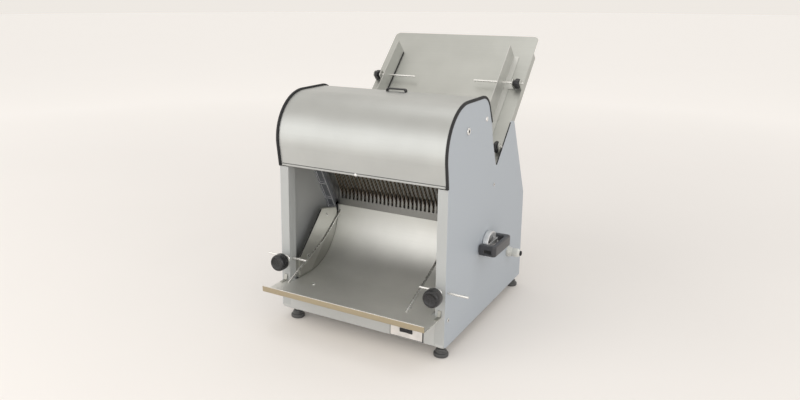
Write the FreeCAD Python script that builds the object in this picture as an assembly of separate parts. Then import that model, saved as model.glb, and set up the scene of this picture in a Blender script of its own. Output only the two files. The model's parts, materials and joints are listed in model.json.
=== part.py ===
import FreeCAD, Part
import math
import os

# Bench bread slicer with a hand crank on its drive shaft.
# Lengths are millimetres and angles degrees.  The pieces are built in the body's own frame: x runs from
# the left to the right of someone who faces the outfeed side, y runs back from the front face and z runs up
# from the underside of the body.  The last step moves all of them so that the origin lies on the ground,
# midway between the four feet.

# Casing.  Every inset is measured from the outer face of a side panel towards the middle.
side_room = 50.0          # from the outermost blades to that face
body_depth = 537.0
panel_sheet = 2.5
cover_sheet = 1.5
fit_gap = 0.3             # between flat faces that move past each other
seat_gap = 0.2            # between parts that are assembled side by side
post_width = 25.0         # front flange of a side panel
post_return = 28.0        # the flange's return, running back inside the body
corner_radius = 10.0
rear_wall_height = 250.0
peak_y = 428.0            # rear top corner of a side panel
peak_z = 472.0
notch_y = 300.0           # bottom of the V between hood and chute
notch_radius = 5.0
chute_reveal = 11.0       # height of the panel's edge over the chute floor, measured straight up

# Hood
hood_base_z = 383.0
hood_top_z = 563.0
mouth_drop = 69.0         # from the hood's top to the lip of its rear face
hood_lean = 9.0           # the front face leans forward by this angle
hood_front_radius = 110.0
hood_rear_radius = 50.0
hood_rear_y = 226.0       # where the top would meet the rear face
hood_rear_slope = 65.0
hood_hem = 12.0
hood_pivot_inset = 7.0    # in front of where the top would meet the rear face
hood_pivot_drop = 54.5
hood_pivot_radius = 4.0
ear_sheet = 2.0
ear_radius = 14.0         # from the pivot down to the ear's edge
ear_front = 46.0          # reach of the ear in front of the pivot
ear_rear = 44.0
ear_rise = 10.0
ear_round = 12.0
pivot_head_radius = 6.5
pivot_head_height = 2.6
pivot_reach = 2.0         # of the pivot, past the ear
hood_grip_x = 0.0
hood_grip_y = 188.0
hood_grip_length = 56.0
hood_grip_height = 8.5
hood_grip_bar = 3.5
trim_wall = 2.2
trim_depth = 7.0
trim_crown = 5.0
trim_lip = 1.0
trim_lip_depth = 2.0
trim_round = 2.0

# Blades: they stand in one plane that leans forward, and every second one belongs to the other frame
blade_lean = 30.0
blade_y = 217.0           # a point of the blade plane, level with the comb slots
blade_z = 268.0
blade_count = 31
blade_pitch = 12.0
blade_width = 10.0
blade_thickness = 0.7
tooth_pitch = 10.0
tooth_depth = 1.6
cut_start = 0.0           # toothed span along the blade
cut_end = 150.0
stroke = 20.0
frame_bar_depth = 13.0    # thickness of a frame's side bar across the blade plane
frame_bar_gap = 1.0       # from the blade plane to a side bar
frame_bar_inset = 38.0    # of a side bar's inner face
frame_bar_width = 31.1
frame_top = 217.0
frame_shoulder = -18.0    # the side bars narrow to legs below this
frame_foot = -57.0
frame_leg = 4.0
rail_height = 16.0
rail_depth = 8.7
lug_width = 5.0
lug_height = 7.0

# Guides that the frames slide in
guide_foot = -27.0
guide_head = 225.0
guide_inset = 30.0        # of its inner faces
guide_front_wall = 13.7
guide_rear_wall = 7.7
guide_web = 4.0
guide_toe = 15.0          # the front wall reaches this far below the channel
guide_toe_depth = 7.5
guide_cell = 52.0
guide_end_cell = 32.0     # the lowest cell is shorter
guide_rib = 3.0
guide_cell_depth = 5.5

# Crank shaft and connecting rods
crank_y = 252.0
crank_z = 182.5
shaft_radius = 9.0
running_clearance = 0.05
eccentric_wall = 2.0
strap_wall = 4.5
rod_width = 4.5
rod_shank = 9.0
eye_radius = 7.0
wrist_radius = 4.0
wrist_s = -46.0
wrist_n = 7.5
bearing_radius = 24.0
bearing_width = 8.0
pulley_radius = 40.0
belt_ratio = 2.5          # turns of the motor for one turn of the crank
pulley_flange = 2.2
pulley_flange_width = 1.0
pulley_width = 8.0
belt_thickness = 1.6
pulley_inset = 15.0       # on the left
motor_inset = 112.0       # of the motor's axis, from the back of the body
motor_z = 96.0
motor_nose_inset = 26.0
motor_radius = 62.0
motor_length = 190.0
gearbox_length = 52.0
motor_shaft_radius = 7.0

# Crank outside the right panel
hub_radius = 34.0
hub_width = 14.0
hub_rim = 6.0
hub_recess = 6.0
hub_gap = 1.0
crank_bar_width = 17.0
crank_bar_sheet = 3.5
grip_length = 116.0
grip_height = 27.0
grip_stand = 45.0
grip_arm = 17.0
grip_bar = 12.0
grip_round = 3.5
grip_wall = 4.0           # of the arm, over the end of the bar

# Outfeed tray, comb and cheeks
tray_floor_z = 79.0
tray_sheet = 1.2
tray_front_y = -92.0
tray_lip = 15.0
tray_inset = 35.8
tray_wing_inset = 8.0
tray_radius = 140.0
comb_y = 216.0
comb_sheet = 2.0
comb_foot_z = 219.5
slot_foot_z = 250.0
slot_width = 6.0
cheek_inset = 35.0
cheek_sheet = 1.5
cheek_front_y = 25.0
cheek_upper = 107.0       # the cheek's top edge lies this far above the 45 degree line through the origin
cheek_peak_y = 133.0      # where the cheek's top edge turns down towards the comb
cheek_rear_y = 207.0      # end of that stretch
cheek_rear_z = 224.0
cheek_heel_z = 180.0      # the rear edge stands upright below this
cheek_rear_gap = 4.0      # in front of the comb
cheek_foot_drop = 5.0     # below the tray's floor
cheek_corner = 3.0
cheek_flange_lift = 6.0   # of the flange's lower end over the cheek's foot
cheek_flange_drop = 12.0  # of its upper end below the cross rods
strip_drop = 105.0        # extent of the cheek strip below that edge, measured straight down
strip_inset = 1.0
strip_sheet = 1.5
strip_lift = 5.0          # of the strip's lower end over the tray's floor
hook_length = 18.0        # clips on the tray's wings
hook_height = 15.0
hook_width = 8.0
hook_sheet = 1.5
tray_shelf = 16.0         # the front panel's flange under the tray
base_shelf = 11.0         # and the one on the base plate

# Infeed chute and loaf guides
chute_rise = 62.0         # the chute floor lies on z = y + chute_rise
chute_slope = 45.0
chute_start_y = 221.0
chute_length = 566.7
chute_side_gap = 0.7
chute_throat = 16.0
chute_flange = 22.0
chute_corner = 14.0
guide_plate_inset = 56.5
guide_plate_height = 52.0
guide_plate_start = 58.0
guide_plate_end = 490.0
loaf_guide_travel = 60.0
rod_radius = 3.0
rod_slide_clearance = 0.08
upper_rod_t = 384.0
lower_rod_t = 175.0
loaf_rod_height = 18.0
loaf_rod_inset = 139.0     # of a guide rod's inner end
loaf_rod_stand = 2.0       # of its outer end, out of the side panel
clamp_ear_inset = 27.0     # of the loaf guide's ear
clamp_ear_length = 20.0
rod_lug_sheet = 2.6
rod_lug_width = 18.0
star_lobe = 5.6
upper_star = (15.0, 14.0, 3.5)    # reach, height of the lobes, height of the neck
lower_star = (16.4, 9.0, 3.0)

# Slice guides of bent wire, on cross rods through the front posts
cross_rod_y = 10.0
cross_rod_z = 137.0
cross_rod_stand = 50.0     # out of the side panel
wire_inset = 67.0
wire_points = ((178.0, 228.0), (95.0, 171.0), (12.0, 136.0), (-65.0, 104.0))
wire_bend = 60.0
clamp_block_size = 20.0
clamp_knob_inset = 17.0
clamp_knob_radius = 21.5
clamp_knob_depth = 27.0
clamp_knob_stand = 20.0
clamp_stud_radius = 4.0
clamp_knob_dome = 13.0     # rounding of the knob's face
clamp_knob_round = 4.0     # and of its rear edge

# Tie bars, feet, electrics, screws
upper_tie_y = 103.5
upper_tie_drop = 66.0      # below the hood's top
upper_tie_radius = 8.0
lower_tie_y = 16.5
lower_tie_z = 67.5
lower_tie_radius = 6.0
foot_right_inset = 17.0    # the feet on the crank side stand nearer to the edge
foot_left_inset = 32.0
foot_front_y = 22.0
foot_rear_inset = 23.0
foot_height = 28.0
foot_radius = 18.0
foot_stud_radius = 5.0
foot_skirt = 9.0           # height of the foot's wide part
foot_shoulder = 13.0       # where its neck starts
foot_collar = 9.0          # the neck ends this far under the body
foot_sole = 8.0            # rubber under the stud
base_sheet = 2.0
base_flange = 25.0
switch_inset = 97.0
switch_z = 24.0
switch_width = 84.0
switch_height = 36.0
switch_stand = 3.0
rocker_length = 32.0
rocker_height = 9.0
rocker_stand = 2.5
rocker_gap_x = 0.8
rocker_gap_z = 0.4
rocker_pivot_y = -1.0
rocker_pin_radius = 1.2
rocker_pin_reach = 1.4     # of the pins at the rocker's ends
socket_wall = 2.2
socket_depth = 16.0
gland_inset = 114.0
gland_z = 107.0
gland_radius = 12.0
gland_length = 36.0
gland_bore = 5.0
chute_screw = (288.0, 329.0)
tray_screw_inset = 93.0
tray_screw_y = 7.0
strip_screw_rear_y = 157.0
strip_screw_rear_drop = 48.0     # below the cheek's top edge
strip_screw_front_y = 66.0
strip_screw_front_drop = 45.0
upper_screw_shank = 5.0
lower_screw_shank = 4.0
chute_screw_shank = 2.0
tray_screw_shank = 2.0
strip_screw_shank = 1.8

half_width = (blade_count - 1) / 2 * blade_pitch + side_room
inner_x = half_width - panel_sheet
X_AXIS = FreeCAD.Vector(1, 0, 0)
Y_AXIS = FreeCAD.Vector(0, 1, 0)
Z_AXIS = FreeCAD.Vector(0, 0, 1)


# ---- general shapes ---------------------------------------------------------------------------------

def corner(before, vertex, after, radius):
    """Start, middle and end of the arc that rounds a vertex of an outline."""
    into = (vertex - before).normalize()
    out = (after - vertex).normalize()
    half_turn = into.getAngle(out) / 2
    reach = radius * math.tan(half_turn)
    centre = vertex + (out - into).normalize() * (radius / math.cos(half_turn))
    middle = centre + (vertex - centre).normalize() * radius
    return vertex - into * reach, middle, vertex + out * reach


def edges_of(vertices, radii, closed):
    """Straight runs joined by tangent arcs through a list of vertices."""
    count = len(vertices)
    places = []
    for i, vertex in enumerate(vertices):
        rounded = radii[i] > 0 and (closed or 0 < i < count - 1)
        if rounded:
            places.append(corner(vertices[i - 1], vertex, vertices[(i + 1) % count], radii[i]))
        else:
            places.append((vertex, None, vertex))
    edges = []
    for i, (start, middle, end) in enumerate(places):
        if middle is not None:
            edges.append(Part.Arc(start, middle, end).toShape())
        following = places[(i + 1) % count][0]
        if (closed or i < count - 1) and (following - end).Length > 1e-6:
            edges.append(Part.LineSegment(end, following).toShape())
    return edges


def split_points(points):
    """Points are pairs, or triples that end in the radius of the corner."""
    pairs = [(p[0], p[1]) for p in points]
    radii = [p[2] if len(p) > 2 else 0.0 for p in points]
    return pairs, radii


def plate(points, x0, x1):
    """Outline of (y, z[, radius]) points, extruded from x0 to x1."""
    pairs, radii = split_points(points)
    vertices = [FreeCAD.Vector(x0, y, z) for y, z in pairs]
    face = Part.Face(Part.Wire(edges_of(vertices, radii, True)))
    return face.extrude(FreeCAD.Vector(x1 - x0, 0, 0))


def offset_points(points, distance):
    """The open path moved to the left of its direction of travel, its corners kept concentric."""
    pairs, radii = split_points(points)
    vertices = [FreeCAD.Vector(0, y, z) for y, z in pairs]
    runs = [(b - a).normalize() for a, b in zip(vertices, vertices[1:])]
    lefts = [FreeCAD.Vector(0, -run.z, run.y) for run in runs]
    moved = [vertices[0] + lefts[0] * distance]
    new_radii = [0.0]
    for i in range(1, len(vertices) - 1):
        bisector = (lefts[i - 1] + lefts[i]).normalize()
        moved.append(vertices[i] + bisector * (distance / bisector.dot(lefts[i])))
        turns_left = runs[i - 1].cross(runs[i]).x > 0
        new_radii.append(max(radii[i] - distance if turns_left else radii[i] + distance, 0.0)
                         if radii[i] else 0.0)
    moved.append(vertices[-1] + lefts[-1] * distance)
    new_radii.append(0.0)
    return [(v.y, v.z, r) for v, r in zip(moved, new_radii)]


def bent_sheet(points, thickness, x0, x1):
    """A sheet whose one face follows the path and whose thickness lies to the left of it."""
    other = offset_points(points, thickness)
    return plate(list(points) + other[::-1], x0, x1)


def box(x0, x1, y0, y1, z0, z1):
    return Part.makeBox(x1 - x0, y1 - y0, z1 - z0, FreeCAD.Vector(x0, y0, z0))


def rod_x(y, z, radius, x0, x1):
    return Part.makeCylinder(radius, x1 - x0, FreeCAD.Vector(x0, y, z), X_AXIS)


def turned(points, base, direction):
    """A revolved solid: (radius, height[, corner radius]) points, with the height along direction."""
    pairs, radii = split_points(points)
    vertices = [FreeCAD.Vector(r, 0, h) for r, h in pairs]
    face = Part.Face(Part.Wire(edges_of(vertices, radii, True)))
    solid = face.revolve(FreeCAD.Vector(0, 0, 0), Z_AXIS, 360)
    turn = FreeCAD.Rotation(Z_AXIS, direction)
    return placed(solid, base, turn)


def placed(shape, base, turn):
    copy = shape.copy()
    copy.Placement = FreeCAD.Placement(base, turn).multiply(shape.Placement)
    return copy


def fused(shapes):
    return shapes[0].multiFuse(list(shapes[1:])).removeSplitter()


def group(shapes):
    return Part.makeCompound(list(shapes))


def mirrored(shape):
    return shape.mirror(FreeCAD.Vector(0, 0, 0), X_AXIS)


def both_sides(shapes):
    return [s for shape in shapes for s in (mirrored(shape), shape)]


# ---- the blade plane's own frame: n across the plane towards the rear, s up along the blades ----------

blade_turn = FreeCAD.Rotation(X_AXIS, blade_lean)
blade_base = FreeCAD.Vector(0, blade_y, blade_z)


def in_blade_frame(shape):
    return placed(shape, blade_base, blade_turn)


def blade_point(n, s):
    point = blade_base + blade_turn.multVec(FreeCAD.Vector(0, n, s))
    return point.y, point.z


# ---- the chute's own frame: t up along the floor from its lower edge, h straight off the floor --------

chute_turn = FreeCAD.Rotation(X_AXIS, chute_slope)
chute_base = FreeCAD.Vector(0, chute_start_y, chute_start_y + chute_rise)


def in_chute_frame(shape):
    return placed(shape, chute_base, chute_turn)


def chute_point(x, t, h):
    return chute_base + chute_turn.multVec(FreeCAD.Vector(x, t, h))


# ---- values that follow from the driving dimensions ---------------------------------------------------

frame_bar_inner_x = half_width - frame_bar_inset
guide_inner_x = half_width - guide_inset
pulley_x = pulley_inset - half_width
motor_nose_x = motor_nose_inset - half_width
tray_half_width = half_width - tray_inset
tray_wing_half_width = half_width - tray_wing_inset
cheek_x = half_width - cheek_inset
strip_screws = [(y, y + cheek_upper - drop) for y, drop in
                ((strip_screw_rear_y, strip_screw_rear_drop), (strip_screw_front_y, strip_screw_front_drop))]
guide_plate_x = half_width - guide_plate_inset
clamp_ear_x = half_width - clamp_ear_inset
cross_rod_outer_x = half_width + cross_rod_stand
wire_x = half_width - wire_inset
clamp_knob_x = half_width - clamp_knob_inset
foot_right_x = half_width - foot_right_inset
foot_left_x = foot_left_inset - half_width
switch_x = half_width - switch_inset
tray_screw_x = half_width - tray_screw_inset
throw = stroke / 2
eccentric_radius = shaft_radius + throw + eccentric_wall
strap_radius = eccentric_radius + strap_wall
front_rod_x = frame_bar_inner_x + frame_leg + fit_gap
rear_rod_x = front_rod_x + rod_width + fit_gap
rear_tongue_x = rear_rod_x + rod_width + fit_gap
motor_pulley_radius = pulley_radius / belt_ratio
belt_width = pulley_width - 2 * pulley_flange_width - 2 * fit_gap
panel_edge_rise = chute_rise + chute_reveal
peak_front_y = peak_z + 4.0 - panel_edge_rise
mouth_lip_z = hood_top_z - mouth_drop
hood_pivot_y = hood_rear_y - hood_pivot_inset
hood_pivot_z = hood_top_z - hood_pivot_drop
upper_tie = (upper_tie_y, hood_top_z - upper_tie_drop)
lower_tie = (lower_tie_y, lower_tie_z)
chute_half_width = inner_x - chute_side_gap
motor_y = body_depth - motor_inset
gland_y = body_depth - gland_inset
foot_rear_y = body_depth - foot_rear_inset
hood_nose_y = -(hood_top_z - hood_base_z) * math.tan(math.radians(hood_lean))
mouth_lip_y = hood_rear_y + (hood_top_z - mouth_lip_z) / math.tan(math.radians(hood_rear_slope))
hood_arc = [(0.0, hood_base_z), (hood_nose_y, hood_top_z, hood_front_radius),
            (hood_rear_y, hood_top_z, hood_rear_radius), (mouth_lip_y, mouth_lip_z)]
blade_xs = [(i - (blade_count - 1) / 2) * blade_pitch for i in range(blade_count)]
blades_a_xs = blade_xs[0::2]
blades_b_xs = blade_xs[1::2]
hood_half_width = inner_x - trim_wall - seat_gap - fit_gap
lug_inset = (rail_height - lug_height) / 2
blade_low = frame_foot + lug_inset + 1.0
blade_high = frame_top - lug_inset - 1.0
hub_face_x = half_width + hub_gap + hub_width
grip_foot_x = half_width + hub_gap + 1.0
foot_centre_y = (foot_front_y + foot_rear_y) / 2


# ---- casing -------------------------------------------------------------------------------------------

def screw(radius, height, shank_radius, shank_length, base, outward):
    """Domed screw: the head's underside at base, its shank running against outward."""
    return turned([(0.0, -shank_length), (shank_radius, -shank_length), (shank_radius, 0.0), (radius, 0.0),
                   (radius, height, height * 0.8), (0.0, height)], base, outward)


def side_panel():
    """The right-hand panel, before its own holes."""
    edge = [(0.0, 0.0, corner_radius), (body_depth, 0.0, corner_radius / 2),
            (body_depth, rear_wall_height, corner_radius), (peak_y, peak_z, corner_radius / 2),
            (peak_front_y, peak_front_y + panel_edge_rise, corner_radius / 2),
            (notch_y, notch_y + panel_edge_rise, notch_radius),
            (mouth_lip_y + 10.5, mouth_lip_z - 46.0, 20.0)]
    edge += hood_arc[::-1]
    sheet = plate(edge, inner_x, half_width)
    post_top = hood_base_z - 2.0
    flange = box(half_width - post_width, inner_x + 1.0, 0.0, panel_sheet, corner_radius, post_top)
    back = box(half_width - post_width, half_width - post_width + panel_sheet, 0.0, post_return,
               corner_radius, post_top)
    panel = fused([sheet, flange, back])
    cuts = [rod_x(cross_rod_y, cross_rod_z, rod_radius + fit_gap, 0.0, half_width + 1),
            rod_x(*upper_tie, upper_screw_shank, inner_x - 1, half_width + 1),
            rod_x(*lower_tie, lower_screw_shank, inner_x - 1, half_width + 1),
            rod_x(*lower_tie, lower_tie_radius + 0.1, 0.0, inner_x - 1),
            rod_x(hood_pivot_y, hood_pivot_z, hood_pivot_radius, inner_x - 1, half_width + 1),
            rod_x(*chute_screw, chute_screw_shank, inner_x - 1, half_width + 1),
            Part.makeCylinder(clamp_stud_radius + fit_gap, panel_sheet + 2,
                              FreeCAD.Vector(clamp_knob_x, -1, cross_rod_z), Y_AXIS)]
    return panel.cut(group(cuts))


def side_panels():
    right = side_panel()
    left = mirrored(right)
    right = right.cut(group([rod_x(crank_y, crank_z, shaft_radius + 3.0, inner_x - 1, half_width + 1),
                             rod_x(gland_y, gland_z, gland_radius - 3.0, inner_x - 1, half_width + 1)]))
    return left, right


def lower_front_panel():
    width = half_width - post_width - seat_gap
    tray_underside = tray_floor_z - tray_sheet
    sheet = bent_sheet([(base_shelf, base_sheet), (0.0, base_sheet, 2.0), (0.0, tray_underside, 2.0),
                        (tray_shelf, tray_underside)][::-1], cover_sheet, -width, width)
    window = around_switch(rocker_length / 2 + rocker_gap_x + socket_wall + 1.0,
                           rocker_height / 2 + rocker_gap_z + socket_wall + 1.0, -1.0, cover_sheet + 1.0)
    holes = [Part.makeCylinder(tray_screw_shank, 9.0, FreeCAD.Vector(x, tray_screw_y, tray_underside - 5))
             for x in (-tray_screw_x, tray_screw_x)]
    return sheet.cut(group([window] + holes))


def base_plate():
    width = inner_x - 0.1
    floor = box(-width, width, 4.0, body_depth - 1.0, 0.0, base_sheet)
    lips = both_sides([box(width - base_sheet, width, 4.0, body_depth - 4.0, 0.0, base_flange)])
    holes = [Part.makeCylinder(foot_stud_radius + 0.2, base_sheet + 2, FreeCAD.Vector(x, y, -1.0))
             for x, y in foot_places()]
    return fused([floor] + lips).cut(group(holes))


def rear_panel():
    """Upright rear wall that folds forward up to the chute's underside and ends in a flange along it."""
    width = chute_half_width - cover_sheet - 0.5
    slope = (body_depth - peak_y) / (peak_z - rear_wall_height)
    outer_y = body_depth - 1.0
    under_chute = chute_rise - (cover_sheet + 0.1) * math.sqrt(2)
    top_z = (outer_y + under_chute + slope * rear_wall_height) / (1 + slope)
    top_y = top_z - under_chute
    path = [(outer_y, base_sheet), (outer_y, rear_wall_height, corner_radius), (top_y, top_z, 3.0),
            (top_y - 18.0, top_z - 18.0)]
    return bent_sheet(path, cover_sheet, -width, width)


def tie_bars():
    return group([rod_x(*upper_tie, upper_tie_radius, -inner_x, inner_x),
                  rod_x(*lower_tie, lower_tie_radius, -inner_x, inner_x)])


def casing_screws():
    """Screws of the side panels, the tray and the cheek strips."""
    right = [screw(9.0, 3.5, upper_screw_shank, panel_sheet, FreeCAD.Vector(half_width, *upper_tie), X_AXIS),
             screw(5.0, 2.4, lower_screw_shank, panel_sheet, FreeCAD.Vector(half_width, *lower_tie), X_AXIS),
             screw(4.5, 2.2, chute_screw_shank, half_width - chute_half_width + cover_sheet,
                   FreeCAD.Vector(half_width, *chute_screw), X_AXIS),
             screw(4.5, 2.4, tray_screw_shank, tray_sheet + cover_sheet,
                   FreeCAD.Vector(tray_screw_x, tray_screw_y, tray_floor_z), Z_AXIS)]
    inward = FreeCAD.Vector(-1, 0, 0)
    strip_face = cheek_x - strip_sheet
    right += [screw(4.0, 1.6, strip_screw_shank, strip_sheet + cheek_sheet,
                    FreeCAD.Vector(strip_face, y, z), inward) for y, z in strip_screws]
    return group(both_sides(right))


def edge_trim():
    """Rubber edging round the hood's side of the right panel: proud crown, inner leg, narrow lip."""
    low, high = inner_x - trim_wall, half_width + trim_lip
    crown = plate(list(hood_arc) + offset_points(hood_arc, trim_crown)[::-1], low, high)
    inner_leg = plate(list(hood_arc) + offset_points(hood_arc, -trim_depth)[::-1], low, inner_x - 0.05)
    lip = plate(list(hood_arc) + offset_points(hood_arc, -trim_lip_depth)[::-1], half_width + 0.05, high)
    rounded = [e for e in crown.Edges if e.BoundBox.XLength < 1e-6 and is_outer(e)]
    crown = crown.makeFillet(trim_round, rounded)
    return fused([crown, inner_leg, lip])


def is_outer(edge):
    """Whether an edge of the trim's crown lies on its outer face."""
    outside = offset_points(hood_arc, trim_crown)
    line = Part.Wire(edges_of([FreeCAD.Vector(edge.BoundBox.XMin, y, z) for y, z, _ in outside],
                              [r for _, _, r in outside], False))
    middle = edge.valueAt((edge.FirstParameter + edge.LastParameter) / 2)
    return line.distToShape(Part.Vertex(middle))[0] < 1e-4


# ---- hood ---------------------------------------------------------------------------------------------

def hood_path():
    rear_hem = FreeCAD.Vector(0, -math.cos(math.radians(30)), -math.sin(math.radians(30))) * hood_hem
    return ([(hood_hem, hood_base_z), (0.0, hood_base_z, 2.5)] + hood_arc[1:3]
            + [(mouth_lip_y, mouth_lip_z, 2.5), (mouth_lip_y + rear_hem.y, mouth_lip_z + rear_hem.z)])


def hood_cover():
    """Curved cover between the side panels, with two ears that carry its pivots."""
    shell = bent_sheet(hood_path()[::-1], cover_sheet, -hood_half_width, hood_half_width)
    inside = offset_points(hood_path()[1:5][::-1], cover_sheet * 0.5)
    cavity = plate(inside, 0.0, half_width)
    ear = plate([(hood_pivot_y - ear_front, hood_top_z), (hood_pivot_y + ear_rear, hood_top_z),
                 (hood_pivot_y + ear_rear, hood_pivot_z + ear_rise),
                 (hood_pivot_y + ear_round / 2, hood_pivot_z - ear_radius, ear_round),
                 (hood_pivot_y - ear_round, hood_pivot_z - ear_radius, ear_round)],
                hood_half_width - ear_sheet - 1.0, hood_half_width - 1.0)
    ear = ear.common(cavity).cut(rod_x(hood_pivot_y, hood_pivot_z, hood_pivot_radius + rod_slide_clearance,
                                       0.0, half_width))
    return fused([shell] + both_sides([ear]))


def hood_pivots():
    length = half_width - hood_half_width + 2 * ear_sheet + pivot_reach
    pivot = screw(pivot_head_radius, pivot_head_height, hood_pivot_radius, length,
                  FreeCAD.Vector(half_width, hood_pivot_y, hood_pivot_z), X_AXIS)
    return group(both_sides([pivot]))


def hood_handle():
    """Low bow on the hood's top, left of the middle."""
    half = hood_grip_length / 2
    top = hood_top_z + hood_grip_height
    outer = [(-half, hood_top_z), (-half, top, 6.0), (half, top, 6.0), (half, hood_top_z)]
    inner = [(half - hood_grip_bar, hood_top_z), (half - hood_grip_bar, top - hood_grip_bar, 3.0),
             (-half + hood_grip_bar, top - hood_grip_bar, 3.0), (-half + hood_grip_bar, hood_top_z)]
    bow = plate(outer + inner, -6.0, 6.0)
    return placed(bow, FreeCAD.Vector(hood_grip_x, hood_grip_y, 0), FreeCAD.Rotation(Z_AXIS, -90))


# ---- outfeed side -------------------------------------------------------------------------------------

def tray_path():
    lip_top = tray_floor_z + tray_lip
    return [(tray_front_y - 1.0, lip_top), (tray_front_y, tray_floor_z, 2.0),
            (comb_y, tray_floor_z, tray_radius), (comb_y, comb_foot_z + 11.0)]


def outfeed_tray():
    """Floor with an upturned lip, swept up to the comb; it is wider in front of the posts."""
    sheet = bent_sheet(tray_path()[::-1], tray_sheet, -tray_half_width, tray_half_width)
    wing = bent_sheet([(-1.5, tray_floor_z)] + [tray_path()[1], tray_path()[0]], tray_sheet,
                      -tray_wing_half_width, tray_wing_half_width)
    holes = [Part.makeCylinder(tray_screw_shank + 0.2, 9.0, FreeCAD.Vector(x, tray_screw_y, tray_floor_z - 5))
             for x in (-tray_screw_x, tray_screw_x)]
    return fused([sheet, wing]).cut(group(holes))


def comb_plate():
    """Upright comb behind the tray's top edge; the blades run through its slots."""
    back = comb_y + tray_sheet
    tip_z = chute_start_y + chute_rise - 4.0
    comb_half_width = frame_bar_inner_x - 2.0
    sheet = box(-comb_half_width, comb_half_width, back, back + comb_sheet, comb_foot_z, tip_z)
    half_slot = slot_width / 2
    slots = [box(x - half_slot, x + half_slot, back - 1, back + comb_sheet + 1, slot_foot_z, tip_z + 1)
             for x in blade_xs]
    return sheet.cut(group(slots))


def cheek_plate():
    """Right cheek: it closes the space between tray and side panel, and hooks on the post's return."""
    foot_z = tray_floor_z - cheek_foot_drop
    rear_edge = comb_y - cheek_rear_gap
    outline = [(cheek_front_y, foot_z), (rear_edge, foot_z), (rear_edge, cheek_heel_z),
               (cheek_rear_y, cheek_rear_z, cheek_corner),
               (cheek_peak_y, cheek_peak_y + cheek_upper, cheek_corner),
               (cheek_front_y, cheek_front_y + cheek_upper, cheek_corner)]
    sheet = plate(outline, cheek_x, cheek_x + cheek_sheet)
    flange = box(cheek_x, half_width - post_width, cheek_front_y, cheek_front_y + cheek_sheet,
                 foot_z + cheek_flange_lift, cross_rod_z - cheek_flange_drop)
    holes = [rod_x(y, z, strip_screw_shank, cheek_x - 1, cheek_x + cheek_sheet + 1) for y, z in strip_screws]
    return fused([sheet, flange]).cut(group(holes))


def cheek_strip():
    """Polished strip on the inner face of the right cheek, along its upper edge."""
    low = tray_floor_z + strip_lift
    front = cheek_front_y + 3 * strip_inset
    rear = comb_y - cheek_rear_gap - 3 * strip_inset
    upper = cheek_upper - 1.5 * strip_inset
    lower = cheek_upper - strip_drop
    outline = [(front, low), (low - lower, low), (rear, rear + lower),
               (cheek_rear_y - strip_inset, cheek_rear_z - 2 * strip_inset),
               (cheek_peak_y - strip_inset, cheek_peak_y - strip_inset + upper + strip_inset),
               (front, front + upper)]
    sheet = plate(outline, cheek_x - strip_sheet, cheek_x)
    holes = [rod_x(y, z, strip_screw_shank, cheek_x - strip_sheet - 1, cheek_x + 1) for y, z in strip_screws]
    return sheet.cut(group(holes))


def cheek_strips():
    return group(both_sides([cheek_strip()]))


def tray_hooks():
    """Bright clips that stand on the tray's wings and lean against the posts."""
    top = tray_floor_z + hook_height
    heel = -4 * hook_sheet
    outline = [(heel - hook_length, tray_floor_z), (heel - hook_length, tray_floor_z + hook_sheet),
               (heel, tray_floor_z + hook_sheet, hook_sheet), (-hook_sheet - 0.5, top), (-0.4, top),
               (-0.4, top - 0.5 * hook_height), (heel + hook_sheet, tray_floor_z)]
    low_x = tray_wing_half_width - 1.0 - hook_width
    return group(both_sides([plate(outline, low_x, low_x + hook_width)]))


def bent_wire(points, x):
    """Round wire in the plane of constant x, its bends as wide as the runs allow."""
    vertices = [FreeCAD.Vector(x, y, z) for y, z in points]
    spine = Part.Wire(edges_of(vertices, [0.0] + [wire_bend] * (len(points) - 2) + [0.0], False))
    start = vertices[0]
    along = (vertices[1] - start).normalize()
    section = Part.Wire(Part.makeCircle(rod_radius, start, along))
    return spine.makePipeShell([section], True, False)


def wire_guide():
    """Right slice guide: the bent wire welded under the cross rod's inner end."""
    wire = bent_wire(wire_points, wire_x)
    cross = rod_x(cross_rod_y, cross_rod_z, rod_radius, wire_x - rod_radius, cross_rod_outer_x)
    tip = turned([(0.0, 0.0), (rod_radius, 0.0), (rod_radius, 1.5, 1.2), (0.0, 1.5)],
                 FreeCAD.Vector(cross_rod_outer_x, cross_rod_y, cross_rod_z), X_AXIS)
    return fused([wire, cross, tip])


def clamp_blocks():
    half = clamp_block_size / 2
    low_x = half_width - post_width + panel_sheet + seat_gap
    block = box(low_x, inner_x - seat_gap, panel_sheet, panel_sheet + clamp_block_size,
                cross_rod_z - half, cross_rod_z + half)
    bores = [rod_x(cross_rod_y, cross_rod_z, rod_radius + rod_slide_clearance, low_x - 1, inner_x + 1),
             Part.makeCylinder(clamp_stud_radius + running_clearance, cross_rod_y,
                               FreeCAD.Vector(clamp_knob_x, 0, cross_rod_z), Y_AXIS)]
    return group(both_sides([block.cut(group(bores))]))


def clamp_knob():
    """Right clamp knob: domed, with a turned neck and the stud that presses on the cross rod."""
    outward = FreeCAD.Vector(0, -1, 0)
    neck = clamp_knob_radius * 0.45
    far = clamp_knob_stand + clamp_knob_depth
    stud_end = -(cross_rod_y - rod_radius - 0.5)
    profile = [(0.0, stud_end), (clamp_stud_radius, stud_end), (clamp_stud_radius, 1.0), (neck, 1.0),
               (neck, clamp_knob_stand, 0.75 * clamp_knob_round),
               (clamp_knob_radius, clamp_knob_stand + 0.75 * clamp_knob_round, clamp_knob_round),
               (clamp_knob_radius, far, clamp_knob_dome), (0.0, far)]
    return turned(profile, FreeCAD.Vector(clamp_knob_x, 0, cross_rod_z), outward)


# ---- infeed side --------------------------------------------------------------------------------------

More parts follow.
